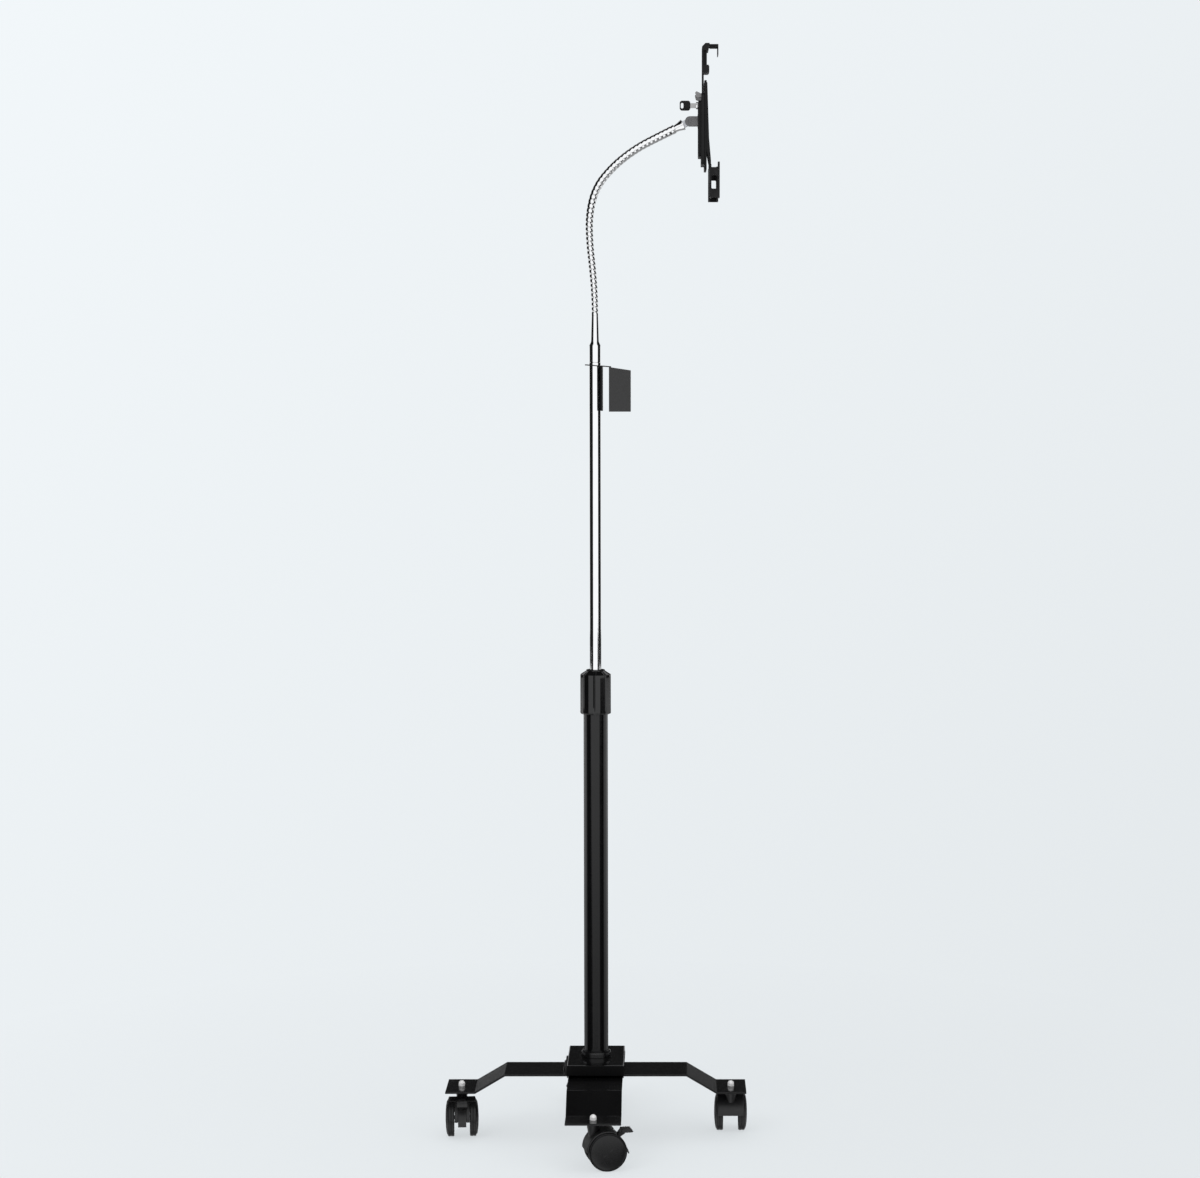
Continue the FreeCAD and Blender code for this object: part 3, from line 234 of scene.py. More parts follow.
def finished(name, mesh, body, look, replaced=(), slot=None, bevel=0.0, segments=3, limit=38.0):
    """Links a mesh as a piece on a body, with rounded edges and even shading."""
    mesh.materials.clear()
    mesh.materials.append(LOOKS[look])
    mesh.shade_smooth()
    piece = bpy.data.objects.new(name, mesh)
    bpy.context.scene.collection.objects.link(piece)
    if bevel:
        edge = piece.modifiers.new("edges", "BEVEL")
        edge.width = bevel * MM
        edge.segments = segments
        edge.limit_method = "ANGLE"
        edge.angle_limit = math.radians(limit)
        edge.miter_outer = "MITER_ARC"
    normals = piece.modifiers.new("normals", "WEIGHTED_NORMAL")
    normals.keep_sharp = True
    normals.weight = NORMAL_WEIGHT
    if body:
        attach(piece, body)
    if replaced:
        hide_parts(*replaced)
    return piece


def sharpen(mesh, angle):
    """Marks the edges that turn by more than an angle in degrees, so that they shade sharp."""
    bm = bmesh.new()
    bm.from_mesh(mesh)
    for edge in bm.edges:
        if len(edge.link_faces) == 2 and edge.calc_face_angle(0.0) > math.radians(angle):
            edge.smooth = False
    bm.to_mesh(mesh)
    bm.free()


def solid(name, verts, faces, body, look, place=Matrix.Identity(4), sharp=50.0, **options):
    """A piece from vertices in millimetres. Its edges are bevelled, or marked sharp if they aren't."""
    mesh = bpy.data.meshes.new(name)
    mesh.from_pydata([(place @ Vector(v)) * MM for v in verts], [], faces)
    bm = bmesh.new()
    bm.from_mesh(mesh)
    bmesh.ops.recalc_face_normals(bm, faces=bm.faces)
    bm.to_mesh(mesh)
    bm.free()
    if not options.get("bevel"):
        sharpen(mesh, sharp)
    return finished(name, mesh, body, look, **options)


def dressed(cad, bevel, look=None, segments=2, limit=38.0, second=None, beyond=None):
    """A CAD node's shape as a piece with rounded edges: flat faces joined first, then bevelled.
    Faces whose middle passes the test get a second look."""
    source = frame["nodes"][cad].data
    bm = bmesh.new()
    bm.from_mesh(source)
    bmesh.ops.remove_doubles(bm, verts=bm.verts, dist=WELD)
    bmesh.ops.dissolve_limit(bm, angle_limit=math.radians(FLAT_ANGLE), verts=bm.verts,
                             edges=bm.edges)
    mesh = bpy.data.meshes.new(cad + "_dressed")
    bm.to_mesh(mesh)
    bm.free()
    piece = finished(mesh.name, mesh, BODY_OF[cad], look or SLOTS[cad], replaced=[cad],
                     slot=SLOTS[cad], bevel=bevel, segments=segments, limit=limit)
    if second:
        mesh.materials.append(LOOKS[second])
        for face in mesh.polygons:
            face.material_index = int(beyond(face.center))
    return piece


def held(value):
    """A value held between 0 and 1."""
    return min(1.0, max(0.0, value))


def softened(points, radius, steps=4, closed=True):
    """An outline with its corners rounded, radius in millimetres or one for each corner."""
    made = []
    count = len(points)
    radii = radius if isinstance(radius, (list, tuple)) else [radius] * count
    for index, point in enumerate(points):
        here = Vector(point)
        if radii[index] <= 0 or (not closed and index in (0, count - 1)):
            made.append(tuple(here))
            continue
        before = Vector(points[index - 1]) - here
        after = Vector(points[(index + 1) % count]) - here
        reach = min(radii[index], before.length * CORNER_SHARE, after.length * CORNER_SHARE)
        start = here + before.normalized() * reach
        end = here + after.normalized() * reach
        for step in range(steps + 1):
            share = step / steps
            made.append(tuple(start * (1 - share) ** 2 + here * 2 * share * (1 - share)
                              + end * share ** 2))
    return made


def turned(profile, count):
    """Vertices and faces of a turned solid from a closed (radius, height) outline."""
    verts, faces, rings = [], [], []
    for radius, height in profile:
        if radius < ON_AXIS:
            rings.append([len(verts)] * count)
            verts.append((0.0, 0.0, height))
            continue
        rings.append(list(range(len(verts), len(verts) + count)))
        for step in range(count):
            angle = math.tau * step / count
            verts.append((radius * math.cos(angle), radius * math.sin(angle), height))
    for ring, other in zip(rings, rings[1:] + rings[:1]):
        for step in range(count):
            face = [ring[step], ring[(step + 1) % count], other[(step + 1) % count], other[step]]
            face = [v for i, v in enumerate(face) if v not in face[:i]]
            if len(face) > 2:
                faces.append(face)
    return verts, faces


def along(start, direction):
    """A frame with its Z axis along a direction, to turn things about it."""
    axis = Vector(direction).normalized()
    return Matrix.Translation(Vector(start)) @ axis.to_track_quat("Z", "Y").to_matrix().to_4x4()


def extruded(outline, low, high):
    """A prism across Y of a closed (x, z) outline."""
    count = len(outline)
    verts = [(x, depth, z) for depth in (low, high) for x, z in outline]
    faces = [list(range(count)), list(range(count, 2 * count))[::-1]]
    faces += [[i, (i + 1) % count, count + (i + 1) % count, count + i] for i in range(count)]
    return verts, faces


# Pole

LOWER_TUBE_RADIUS = 16.0
LOWER_TUBE_WALL = 1.5
LOWER_TUBE_FOOT = 95.0
LOWER_TUBE_HEAD = 598.0
UPPER_TUBE_RADIUS = 7.5
UPPER_TUBE_WALL = 1.2
UPPER_TUBE_FOOT = 512.0
UPPER_TUBE_HEAD = 1029.3
# Clear of the lower tube by a hair
AROUND_LOWER_TUBE = LOWER_TUBE_RADIUS + 0.05
SOCKET_FOOT = 90.0
SOCKET_TOP = 113.6
SOCKET_HOLE = 4.1
SOCKET_BODY = 18.0
SOCKET_FLANGE = 19.5
SOCKET_FLANGE_FOOT = 105.05
SOCKET_FLANGE_HEAD = 111.4
SOCKET_RIM = 17.2
POLE_SIDES = 128
UPPER_TUBE_SIDES = 96


def tube_ring(radius, wall, low, high, lip):
    return softened([(radius, low), (radius, high), (radius - wall, high), (radius - wall, low)], lip)


lower_tube = tube_ring(LOWER_TUBE_RADIUS, LOWER_TUBE_WALL, LOWER_TUBE_FOOT, LOWER_TUBE_HEAD, 0.5)
solid("lower_pole", *turned(lower_tube, POLE_SIDES), "base", "tube_black", replaced=["lower_tube"])

upper_tube = tube_ring(UPPER_TUBE_RADIUS, UPPER_TUBE_WALL, UPPER_TUBE_FOOT, UPPER_TUBE_HEAD, 0.4)
solid("upper_pole_tube", *turned(upper_tube, UPPER_TUBE_SIDES), "upper_pole", "bright_chrome",
      replaced=["upper_tube"])

SOCKET_OUTLINE = [(SOCKET_HOLE, SOCKET_FOOT), (SOCKET_BODY, SOCKET_FOOT),
                  (SOCKET_BODY, SOCKET_FLANGE_FOOT), (SOCKET_FLANGE, SOCKET_FLANGE_FOOT),
                  (SOCKET_FLANGE, SOCKET_FLANGE_HEAD), (SOCKET_RIM, SOCKET_TOP),
                  (AROUND_LOWER_TUBE, SOCKET_TOP), (AROUND_LOWER_TUBE, LOWER_TUBE_FOOT),
                  (SOCKET_HOLE, LOWER_TUBE_FOOT)]
SOCKET_CORNERS = [0, 0, 0, 0.5, 0.7, 0.5, 0.3, 0, 0]
solid("socket", *turned(softened(SOCKET_OUTLINE, SOCKET_CORNERS), POLE_SIDES), "base",
      "socket_black", replaced=["pole_socket"], slot="tube_black")

COLLAR_FOOT = 565.4
COLLAR_SHOULDER = 618.0
COLLAR_TOP = 624.0
COLLAR_RADIUS = 20.4
COLLAR_BORE = 8.55
INNER_CONE_TOP = 617.0
INNER_CONE_FOOT = 600.0
COLLAR_ROWS = 12
COLLAR_SIDES = 320
COLLAR_FACETS = 16
# The facets start this many degrees from the front
COLLAR_TURN = -4
# Only what is wider than this, and this far below the collar's top, is cut into facets
FACET_INNER = 18.0
FACET_TOP_GAP = 2
GROOVE_DEPTH = 1.3
GROOVE_HALF_WIDTH = 1.25
GROOVE_RUN_IN = 0.8
GROOVE_ROUNDNESS = 0.8


def fluted_collar():
    """The twist lock: sixteen flat facets in pairs, a narrow groove between pairs, and a cone."""
    low, shoulder, top = COLLAR_FOOT, COLLAR_SHOULDER, COLLAR_TOP
    outside = [(18.9, low), (20.0, low + 0.5), (COLLAR_RADIUS, low + 1.6), (COLLAR_RADIUS, low + 2.2)]
    foot, head = low + 2.6, shoulder - 0.5
    outside += [(COLLAR_RADIUS, foot + (head - foot) * i / COLLAR_ROWS) for i in range(COLLAR_ROWS + 1)]
    # Over the shoulder and up the cone
    outside += [(20.25, shoulder - 0.1), (19.9, shoulder + 0.15), (12.9, top - 1.5),
                (12.5, top - 1.2), (12.45, top - 0.3), (12.1, top), (11.3, top)]
    # Down through the mouth and the bore to the foot
    outside += [(10.9, top - 0.5), (10.6, top - 1.3), (9.2, top - 1.2), (COLLAR_BORE, top - 1.6),
                (COLLAR_BORE, INNER_CONE_TOP), (AROUND_LOWER_TUBE, INNER_CONE_FOOT),
                (AROUND_LOWER_TUBE, low + 0.6), (16.5, low)]
    verts, faces = turned(outside, COLLAR_SIDES)
    shaped = []
    facet = math.tau / COLLAR_FACETS
    for x, y, z in verts:
        radius, angle = math.hypot(x, y), math.atan2(y, x)
        turn = angle - math.radians(-90 + COLLAR_TURN)
        if radius > FACET_INNER and z < top - FACET_TOP_GAP:
            within = turn % facet - facet / 2
            radius *= math.cos(facet / 2) / math.cos(within)
            off = abs((turn + facet) % (2 * facet) - facet) * radius
            depth = GROOVE_DEPTH * held(1 - off / GROOVE_HALF_WIDTH) ** GROOVE_ROUNDNESS
            radius -= depth * held((z - foot) / GROOVE_RUN_IN)
        shaped.append((radius * math.cos(angle), radius * math.sin(angle), z))
    return shaped, faces


solid("twist_collar", *fluted_collar(), "collar", "collar_black", sharp=30,
      replaced=["lock_collar"])


# Neck

# A groove winds round a curved line. Each of the first eight pieces bends over one joint and ends in
# the middle of the link above it. The ninth runs into the upper ferrule.

# Degrees that each link turns, from the foot up, and the length of a link
TURNS = [-4.0, -2.4, 5.0, 15.2, 26.3, 12.6, 10.6, 0.6]
LINK = 36.78
# From one turn of the winding to the next
PITCH = LINK / 6
NECK_LENGTH = 8 * LINK
NECK_FOOT = 1093.0
NECK_FOOT_RADIUS = 4.4
# How much wider the neck is at its head
NECK_GROWTH = 1.6
# The skin's crests lie this far inside the radius above
CREST_INSET = 0.2
# The groove is shallower towards the head: its depth, how much of it goes, and over which links
RIB_DEPTH = 0.8
RIB_DEPTH_LOSS = 0.42
LOSS_FROM_LINK = 2.6
LOSS_OVER_LINKS = 2.0
# The groove runs out at both ends
RUN_IN_START = 1.5
RUN_IN_LENGTH = 4.0
RUN_OUT_LENGTH = 3.0
# How far the skin goes into the lower and the upper ferrule
INTO_LOWER_FERRULE = 2.3
INTO_UPPER_FERRULE = 0.6
RINGS_PER_TURN = 16
NECK_SIDES = 40


def chord(angle, length):
    """Straight length from end to end of an arc."""
    half = math.radians(angle) / 2
    return length * (math.sin(half) / half if abs(half) > 1e-6 else 1.0)


def neck_joints():
    """Place and heading at the foot of each link, and at the neck's head."""
    x, z, heading = 0.0, NECK_FOOT, 0.0
    found = []
    for turn in TURNS:
        found.append((x, z, heading))
        middle = math.radians(heading + turn / 2)
        x += chord(turn, LINK) * math.sin(middle)
        z += chord(turn, LINK) * math.cos(middle)
        heading += turn
    return found + [(x, z, heading)]


JOINTS = neck_joints()


def neck_point(distance):
    """Place and heading on the neck's line, measured from the foot of its first link."""
    index = min(max(int(distance // LINK), 0), len(TURNS) - 1)
    x, z, heading = JOINTS[index]
    rest = distance - index * LINK
    turn = TURNS[index] * rest / LINK if distance > 0 else 0.0
    middle = math.radians(heading + turn / 2)
    length = chord(turn, rest)
    return (Vector((x + length * math.sin(middle), 0, z + length * math.cos(middle))),
            math.radians(heading + turn))


def wound_radius(distance, angle):
    crest = NECK_FOOT_RADIUS + NECK_GROWTH * max(0.0, distance) / NECK_LENGTH
    phase = distance / PITCH + angle / math.tau
    groove = 1 - abs(math.sin(math.pi * phase))
    run_in = held((distance + RUN_IN_START) / RUN_IN_LENGTH)
    run_out = held((NECK_LENGTH - distance) / RUN_OUT_LENGTH)
    depth = RIB_DEPTH - RIB_DEPTH_LOSS * held((distance / LINK - LOSS_FROM_LINK) / LOSS_OVER_LINKS)
    return crest - CREST_INSET - depth * groove * (run_in * run_out)


def neck_piece(name, start, end, bodies, replaced):
    rings = max(4, int((end - start) / PITCH * RINGS_PER_TURN))
    verts, faces = [], []
    for ring in range(rings + 1):
        distance = start + (end - start) * ring / rings
        centre, heading = neck_point(distance)
        side = Vector((math.cos(heading), 0, -math.sin(heading)))
        for step in range(NECK_SIDES):
            angle = math.tau * step / NECK_SIDES
            reach = wound_radius(distance, angle)
            verts.append(centre + side * (reach * math.cos(angle))
                         + Vector((0, 1, 0)) * (reach * math.sin(angle)))
    for ring in range(rings):
        for step in range(NECK_SIDES):
            a = ring * NECK_SIDES + step
            b = ring * NECK_SIDES + (step + 1) % NECK_SIDES
            faces.append([a, b, b + NECK_SIDES, a + NECK_SIDES])
    mesh = bpy.data.meshes.new(name)
    mesh.from_pydata([v * MM for v in verts], [], faces)
    mesh.materials.append(LOOKS["bright_chrome"])
    mesh.shade_smooth()
    piece = bpy.data.objects.new(name, mesh)
    bpy.context.scene.collection.objects.link(piece)
    if len(bodies) == 2:
        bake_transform(piece)
    else:
        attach(piece, bodies[0])
    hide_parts(*replaced)


def neck():
    """One skin for each joint, and a short one into the upper ferrule."""
    names = ["upper_pole"] + ["neck_%d" % i for i in range(1, 9)]
    for index in range(8):
        start = (index - 0.5) * LINK if index else -INTO_LOWER_FERRULE
        end = (index + 0.5) * LINK
        neck_piece("neck_skin_%d" % (index + 1), start, end, (names[index], names[index + 1]),
                   ["neck_link_%d" % (index + 1)])
    neck_piece("neck_skin_9", 7.5 * LINK, NECK_LENGTH + INTO_UPPER_FERRULE, ("neck_8",),
               ["neck_link_8"])


neck()


# Ferrules, knuckle and swivel

FERRULE_SIDES = 96
# Radius and height of each corner of the lower ferrule, and how far each is rounded
FOOT_OUTLINE = [(0, 1017.4), (6.2, 1017.4), (6.2, 1029.5), (7.3, 1029.5), (7.3, 1051.6),
                (5.1, 1056.2), (4.05, 1090.9), (0, 1090.9)]
FOOT_CORNERS = [0, 0.3, 0, 0.35, 0.9, 1.2, 0.4, 0]
# The same of the upper ferrule, with heights from the neck's head along its line
FLARE_OUTLINE = [(0, -0.4), (4.3, -0.4), (4.5, 1.0), (5.4, 6.6), (7.2, 12.4), (7.2, 13.1),
                 (6.3, 13.1), (4.6, 9.4), (0, 9.4)]
FLARE_CORNERS = [0, 0.3, 0.8, 2.0, 0.3, 0.3, 0.3, 0.8, 0]
# From the neck's head to the knuckle's pin
PIVOT_REACH = 22.6
TONGUE_RADIUS = 4.5
TONGUE_LENGTH = 13.0
TONGUE_HALF_THICKNESS = 2.0
TONGUE_STEPS = 24

HEAD = math.radians(JOINTS[-1][2])
HEAD_LINE = Vector((math.sin(HEAD), 0, math.cos(HEAD)))
FLARE = Vector((JOINTS[-1][0], 0, JOINTS[-1][1]))
PIVOT = FLARE + HEAD_LINE * PIVOT_REACH

solid("foot_ferrule", *turned(softened(FOOT_OUTLINE, FOOT_CORNERS), FERRULE_SIDES),
      "upper_pole", "bright_chrome", replaced=["lower_ferrule"])
solid("head_ferrule", *turned(softened(FLARE_OUTLINE, FLARE_CORNERS), FERRULE_SIDES),
      "neck_8", "bright_chrome", along(FLARE, HEAD_LINE), replaced=["upper_ferrule"])


def tongue():
    """The flat eye that stands in the flare and turns on the knuckle's pin."""
    outline = []
    for step in range(TONGUE_STEPS + 1):
        angle = math.pi * (step / TONGUE_STEPS - 0.5)
        outline.append((TONGUE_RADIUS * math.cos(angle), TONGUE_RADIUS * math.sin(angle)))
    outline += [(-TONGUE_LENGTH, TONGUE_RADIUS), (-TONGUE_LENGTH, -TONGUE_RADIUS)]
    return extruded(outline, -TONGUE_HALF_THICKNESS, TONGUE_HALF_THICKNESS)


tongue_place = Matrix.Translation(PIVOT) @ Matrix.Rotation(HEAD - math.pi / 2, 4, "Y")
solid("head_tongue", *tongue(), "neck_8", "zinc_steel", tongue_place,
      replaced=["upper_ferrule"], bevel=0.35, slot="bright_chrome")

dressed("knuckle", 0.7, segments=3)
dressed("friction_washer", 0.25, limit=60)


# Base

# The hub cover's front skin, which gets painted shade (a darker, less glossy black): faces within this
# of its front, in metres
HUB_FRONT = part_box("hub_cover")[0][1]
HUB_FRONT_SKIN = 0.0006

dressed("side_bar", 0.55, limit=50)
dressed("front_bar", 0.55, limit=50)
# The front face's darker, less glossy black is painted shade
dressed("hub_cover", 0.45, limit=50, second="hub_front_painted_shade",
        beyond=lambda middle: middle.y < HUB_FRONT + HUB_FRONT_SKIN)
dressed("hub_bolt", 0.3, limit=50)


# Casters

CASTER_REACH = 180.0
# Place of each caster's stem, and its heading in degrees
CASTERS = {"left": (-CASTER_REACH, 0.0, -86.0), "right": (CASTER_REACH, 0.0, 90.0),
           "front": (0.0, -CASTER_REACH, 12.0), "rear": (0.0, CASTER_REACH, 192.0)}
# How far the wheels trail behind the stem, and the height of their axle
TRAIL = 16
AXLE_HEIGHT = 25
WHEEL_RADIUS = 25.0
WHEEL_SIDES = 112
DOME_RADIUS = 23.0
DOME_FOOT = 19.1
DOME_HEIGHT = 2.9
DOME_STEPS = 14
# Ridges across the brake's pad: count, first place, distance, width at foot, slope and half length
PAD_RIDGES = 4
RIDGE_START = 36.7
RIDGE_STEP = 3.0
RIDGE_WIDTH = 1.3
RIDGE_SLOPE = 0.2
RIDGE_HALF_LENGTH = 6.2
PAD_TOP = 50.9
RIDGE_TOP = 51.6


def wheel_profile():
    """Radius and distance from the caster's middle: inner face, rounded tread with its groove, and
    domed cover."""
    dome = []
    for step in range(DOME_STEPS):
        angle = math.pi / 2 * step / DOME_STEPS
        dome.append((DOME_RADIUS * math.cos(angle), DOME_FOOT + DOME_HEIGHT * math.sin(angle)))
    back = [(2.6, 10.3), (6.4, 10.3), (7.2, 12.2), (20.6, 12.2), (21.6, 10.3), (24.2, 10.3),
            (WHEEL_RADIUS, 11.2), (WHEEL_RADIUS, 14.0), (24.7, 14.3), (24.7, 14.9),
            (WHEEL_RADIUS, 15.2), (WHEEL_RADIUS, 18.0), (24.1, 18.9), (23.55, 18.95), (23.3, 18.7)]
    points = softened(back, 0.35, 3, closed=False)
    return points + dome + [(0.0, 22.0), (0.0, 18.3), (2.6, 18.3)]


WHEEL = turned(wheel_profile(), WHEEL_SIDES)


def pad_ridge(number):
    """One ridge on a brake's pad."""
    start = RIDGE_START + number * RIDGE_STEP
    outline = [(start, PAD_TOP), (start + RIDGE_WIDTH, PAD_TOP),
               (start + (RIDGE_WIDTH - RIDGE_SLOPE), RIDGE_TOP), (start + RIDGE_SLOPE, RIDGE_TOP)]
    return extruded(softened(outline, 0.2, 2), -RIDGE_HALF_LENGTH, RIDGE_HALF_LENGTH)


def casters():
    for name, (x, y, angle) in CASTERS.items():
        place = Matrix.Translation((x, y, 0)) @ Matrix.Rotation(math.radians(angle), 4, "Z")
        prefix = name + "_caster_"
        for side, letter in ((1, "a"), (-1, "b")):
            turn = Matrix(((1, 0, 0, TRAIL), (0, 0, side, 0), (0, 1, 0, AXLE_HEIGHT), (0, 0, 0, 1)))
            solid(prefix + "disc_" + letter, *WHEEL, name + "_wheel_" + letter, "wheel_black",
                  place @ turn, slot="caster_black", sharp=40,
                  replaced=[prefix + "wheel_" + letter])
        dressed(prefix + "hood", 0.3)
        dressed(prefix + "brake", 0.45)
        dressed(prefix + "stem", 0.22, "stem_nickel", limit=50)
        for number in range(PAD_RIDGES):
            solid(prefix + "grip_%d" % number, *pad_ridge(number), name + "_brake",
                  "caster_black", place)


casters()


# Accessory pocket, tablet holder and its lock

# The housing's pale flap: faces this far behind the back cover's front, in metres
HOUSING_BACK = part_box("back_cover")[1][0]
FLAP_MARGIN = 0.0008
# The key's steel blade: faces beyond its plastic bow, with a margin, in metres
BOW_LENGTH = 0.0133
BLADE_MARGIN = 0.0014
BLADE_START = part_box("key")[0][0] + BOW_LENGTH + BLADE_MARGIN

dressed("accessory_pocket", 0.4, limit=50)
dressed("pocket_bracket", 0.25, limit=50)
dressed("back_cover", 0.35, limit=50)
dressed("housing", 0.4, limit=50, second="flap_grey",
        beyond=lambda middle: middle.x < HOUSING_BACK - FLAP_MARGIN)
dressed("arm_track", 0.45, limit=50)
dressed("upper_arm", 0.3, limit=40)
dressed("upper_pads", 0.2, limit=50)
dressed("lower_bracket", 0.3, limit=40)
dressed("lower_pads", 0.2, limit=50)
dressed("lock_barrel", 0.2, limit=50)
dressed("cover_screws", 0.12, limit=50)
dressed("knuckle_pin", 0.3, "knuckle_grey", limit=50)
dressed("key", 0.35, limit=50, second="key_steel", beyond=lambda middle: middle.x > BLADE_START)


# Floor, light and camera

# Radius of each ring of the floor, in metres
FLOOR_RINGS = [0.3, 0.6, 0.9, 1.2, 1.6]
FLOOR_SIDES = 96
# The floor lies this far under the wheels, in metres
FLOOR_DROP = 0.0002
FLOOR_COLOR = (0.84, 0.88, 0.905, 1)
# How clear the floor is at its middle, and the radii between which it thins out, in metres
FLOOR_CLEAR = 0.74
FLOOR_FADE_FROM = 0.35
FLOOR_FADE_TO = 1.15


def floor_mesh():
    verts = [(0.0, 0.0, 0.0)]
    faces = []
    for radius in FLOOR_RINGS:
        for i in range(FLOOR_SIDES):
            angle = math.tau * i / FLOOR_SIDES
            verts.append((radius * math.cos(angle), radius * math.sin(angle), 0.0))
    for i in range(FLOOR_SIDES):
        faces.append([0, 1 + i, 1 + (i + 1) % FLOOR_SIDES])
    for ring in range(len(FLOOR_RINGS) - 1):
        for i in range(FLOOR_SIDES):
            a = 1 + ring * FLOOR_SIDES + i
            b = 1 + ring * FLOOR_SIDES + (i + 1) % FLOOR_SIDES
            faces.append([a, a + FLOOR_SIDES, b + FLOOR_SIDES, b])
    mesh = bpy.data.meshes.new("floor")
    mesh.from_pydata(verts, [], faces)
    return mesh


def floor_material():
    """Pale and mostly clear, thinner outwards, and not there at all for glossy rays."""
    material = bpy.data.materials.new("pale_floor")
    material.use_nodes = True
    tree = material.node_tree
    tree.nodes.clear()
    diffuse = node(tree, "ShaderNodeBsdfDiffuse")
    diffuse.inputs["Color"].default_value = FLOOR_COLOR
    clear = node(tree, "ShaderNodeBsdfTransparent")
    coords = node(tree, "ShaderNodeTexCoord")
    length = node(tree, "ShaderNodeVectorMath", operation="LENGTH")
    tree.links.new(coords.outputs["Object"], length.inputs[0])
    mix = node(tree, "ShaderNodeMixShader")
    rays = node(tree, "ShaderNodeLightPath")
    fade = node(tree, "ShaderNodeMath", operation="MAXIMUM")
    thinning = spread(tree, length.outputs["Value"], FLOOR_CLEAR, 1.0, FLOOR_FADE_FROM, FLOOR_FADE_TO)
    tree.links.new(thinning, fade.inputs[0])
    tree.links.new(rays.outputs["Is Glossy Ray"], fade.inputs[1])
    tree.links.new(fade.outputs[0], mix.inputs[0])
    tree.links.new(diffuse.outputs[0], mix.inputs[1])
    tree.links.new(clear.outputs[0], mix.inputs[2])
    out = node(tree, "ShaderNodeOutputMaterial")
    tree.links.new(mix.outputs[0], out.inputs["Surface"])
    return material


def floor():
    """A pale round floor that thins out to nothing, so that no edge shows."""
    mesh = floor_mesh()
    plane = bpy.data.objects.new("floor", mesh)
    bpy.context.scene.collection.objects.link(plane)
    plane.location.z = -FLOOR_DROP
    mesh.materials.append(floor_material())


# Colour of the wall for camera rays, of the studio for glossy rays and of the light for the rest
WALL_COLOR = (0.838, 0.878, 0.902, 1)
GLOSS_COLOR = (0.98, 0.99, 1.0, 1)
FILL_COLOR = (1.0, 1.0, 1.0, 1)
FILL_STRENGTH = 0.62
# The wall is a little brighter upwards and darker to the right, within these limits
WALL_ACROSS = -0.18
WALL_UP = 0.21
WALL_DARKEST = 0.93
WALL_BRIGHTEST = 1.06
# How much of the light a full flag takes away
FLAG_WEIGHT = 0.99


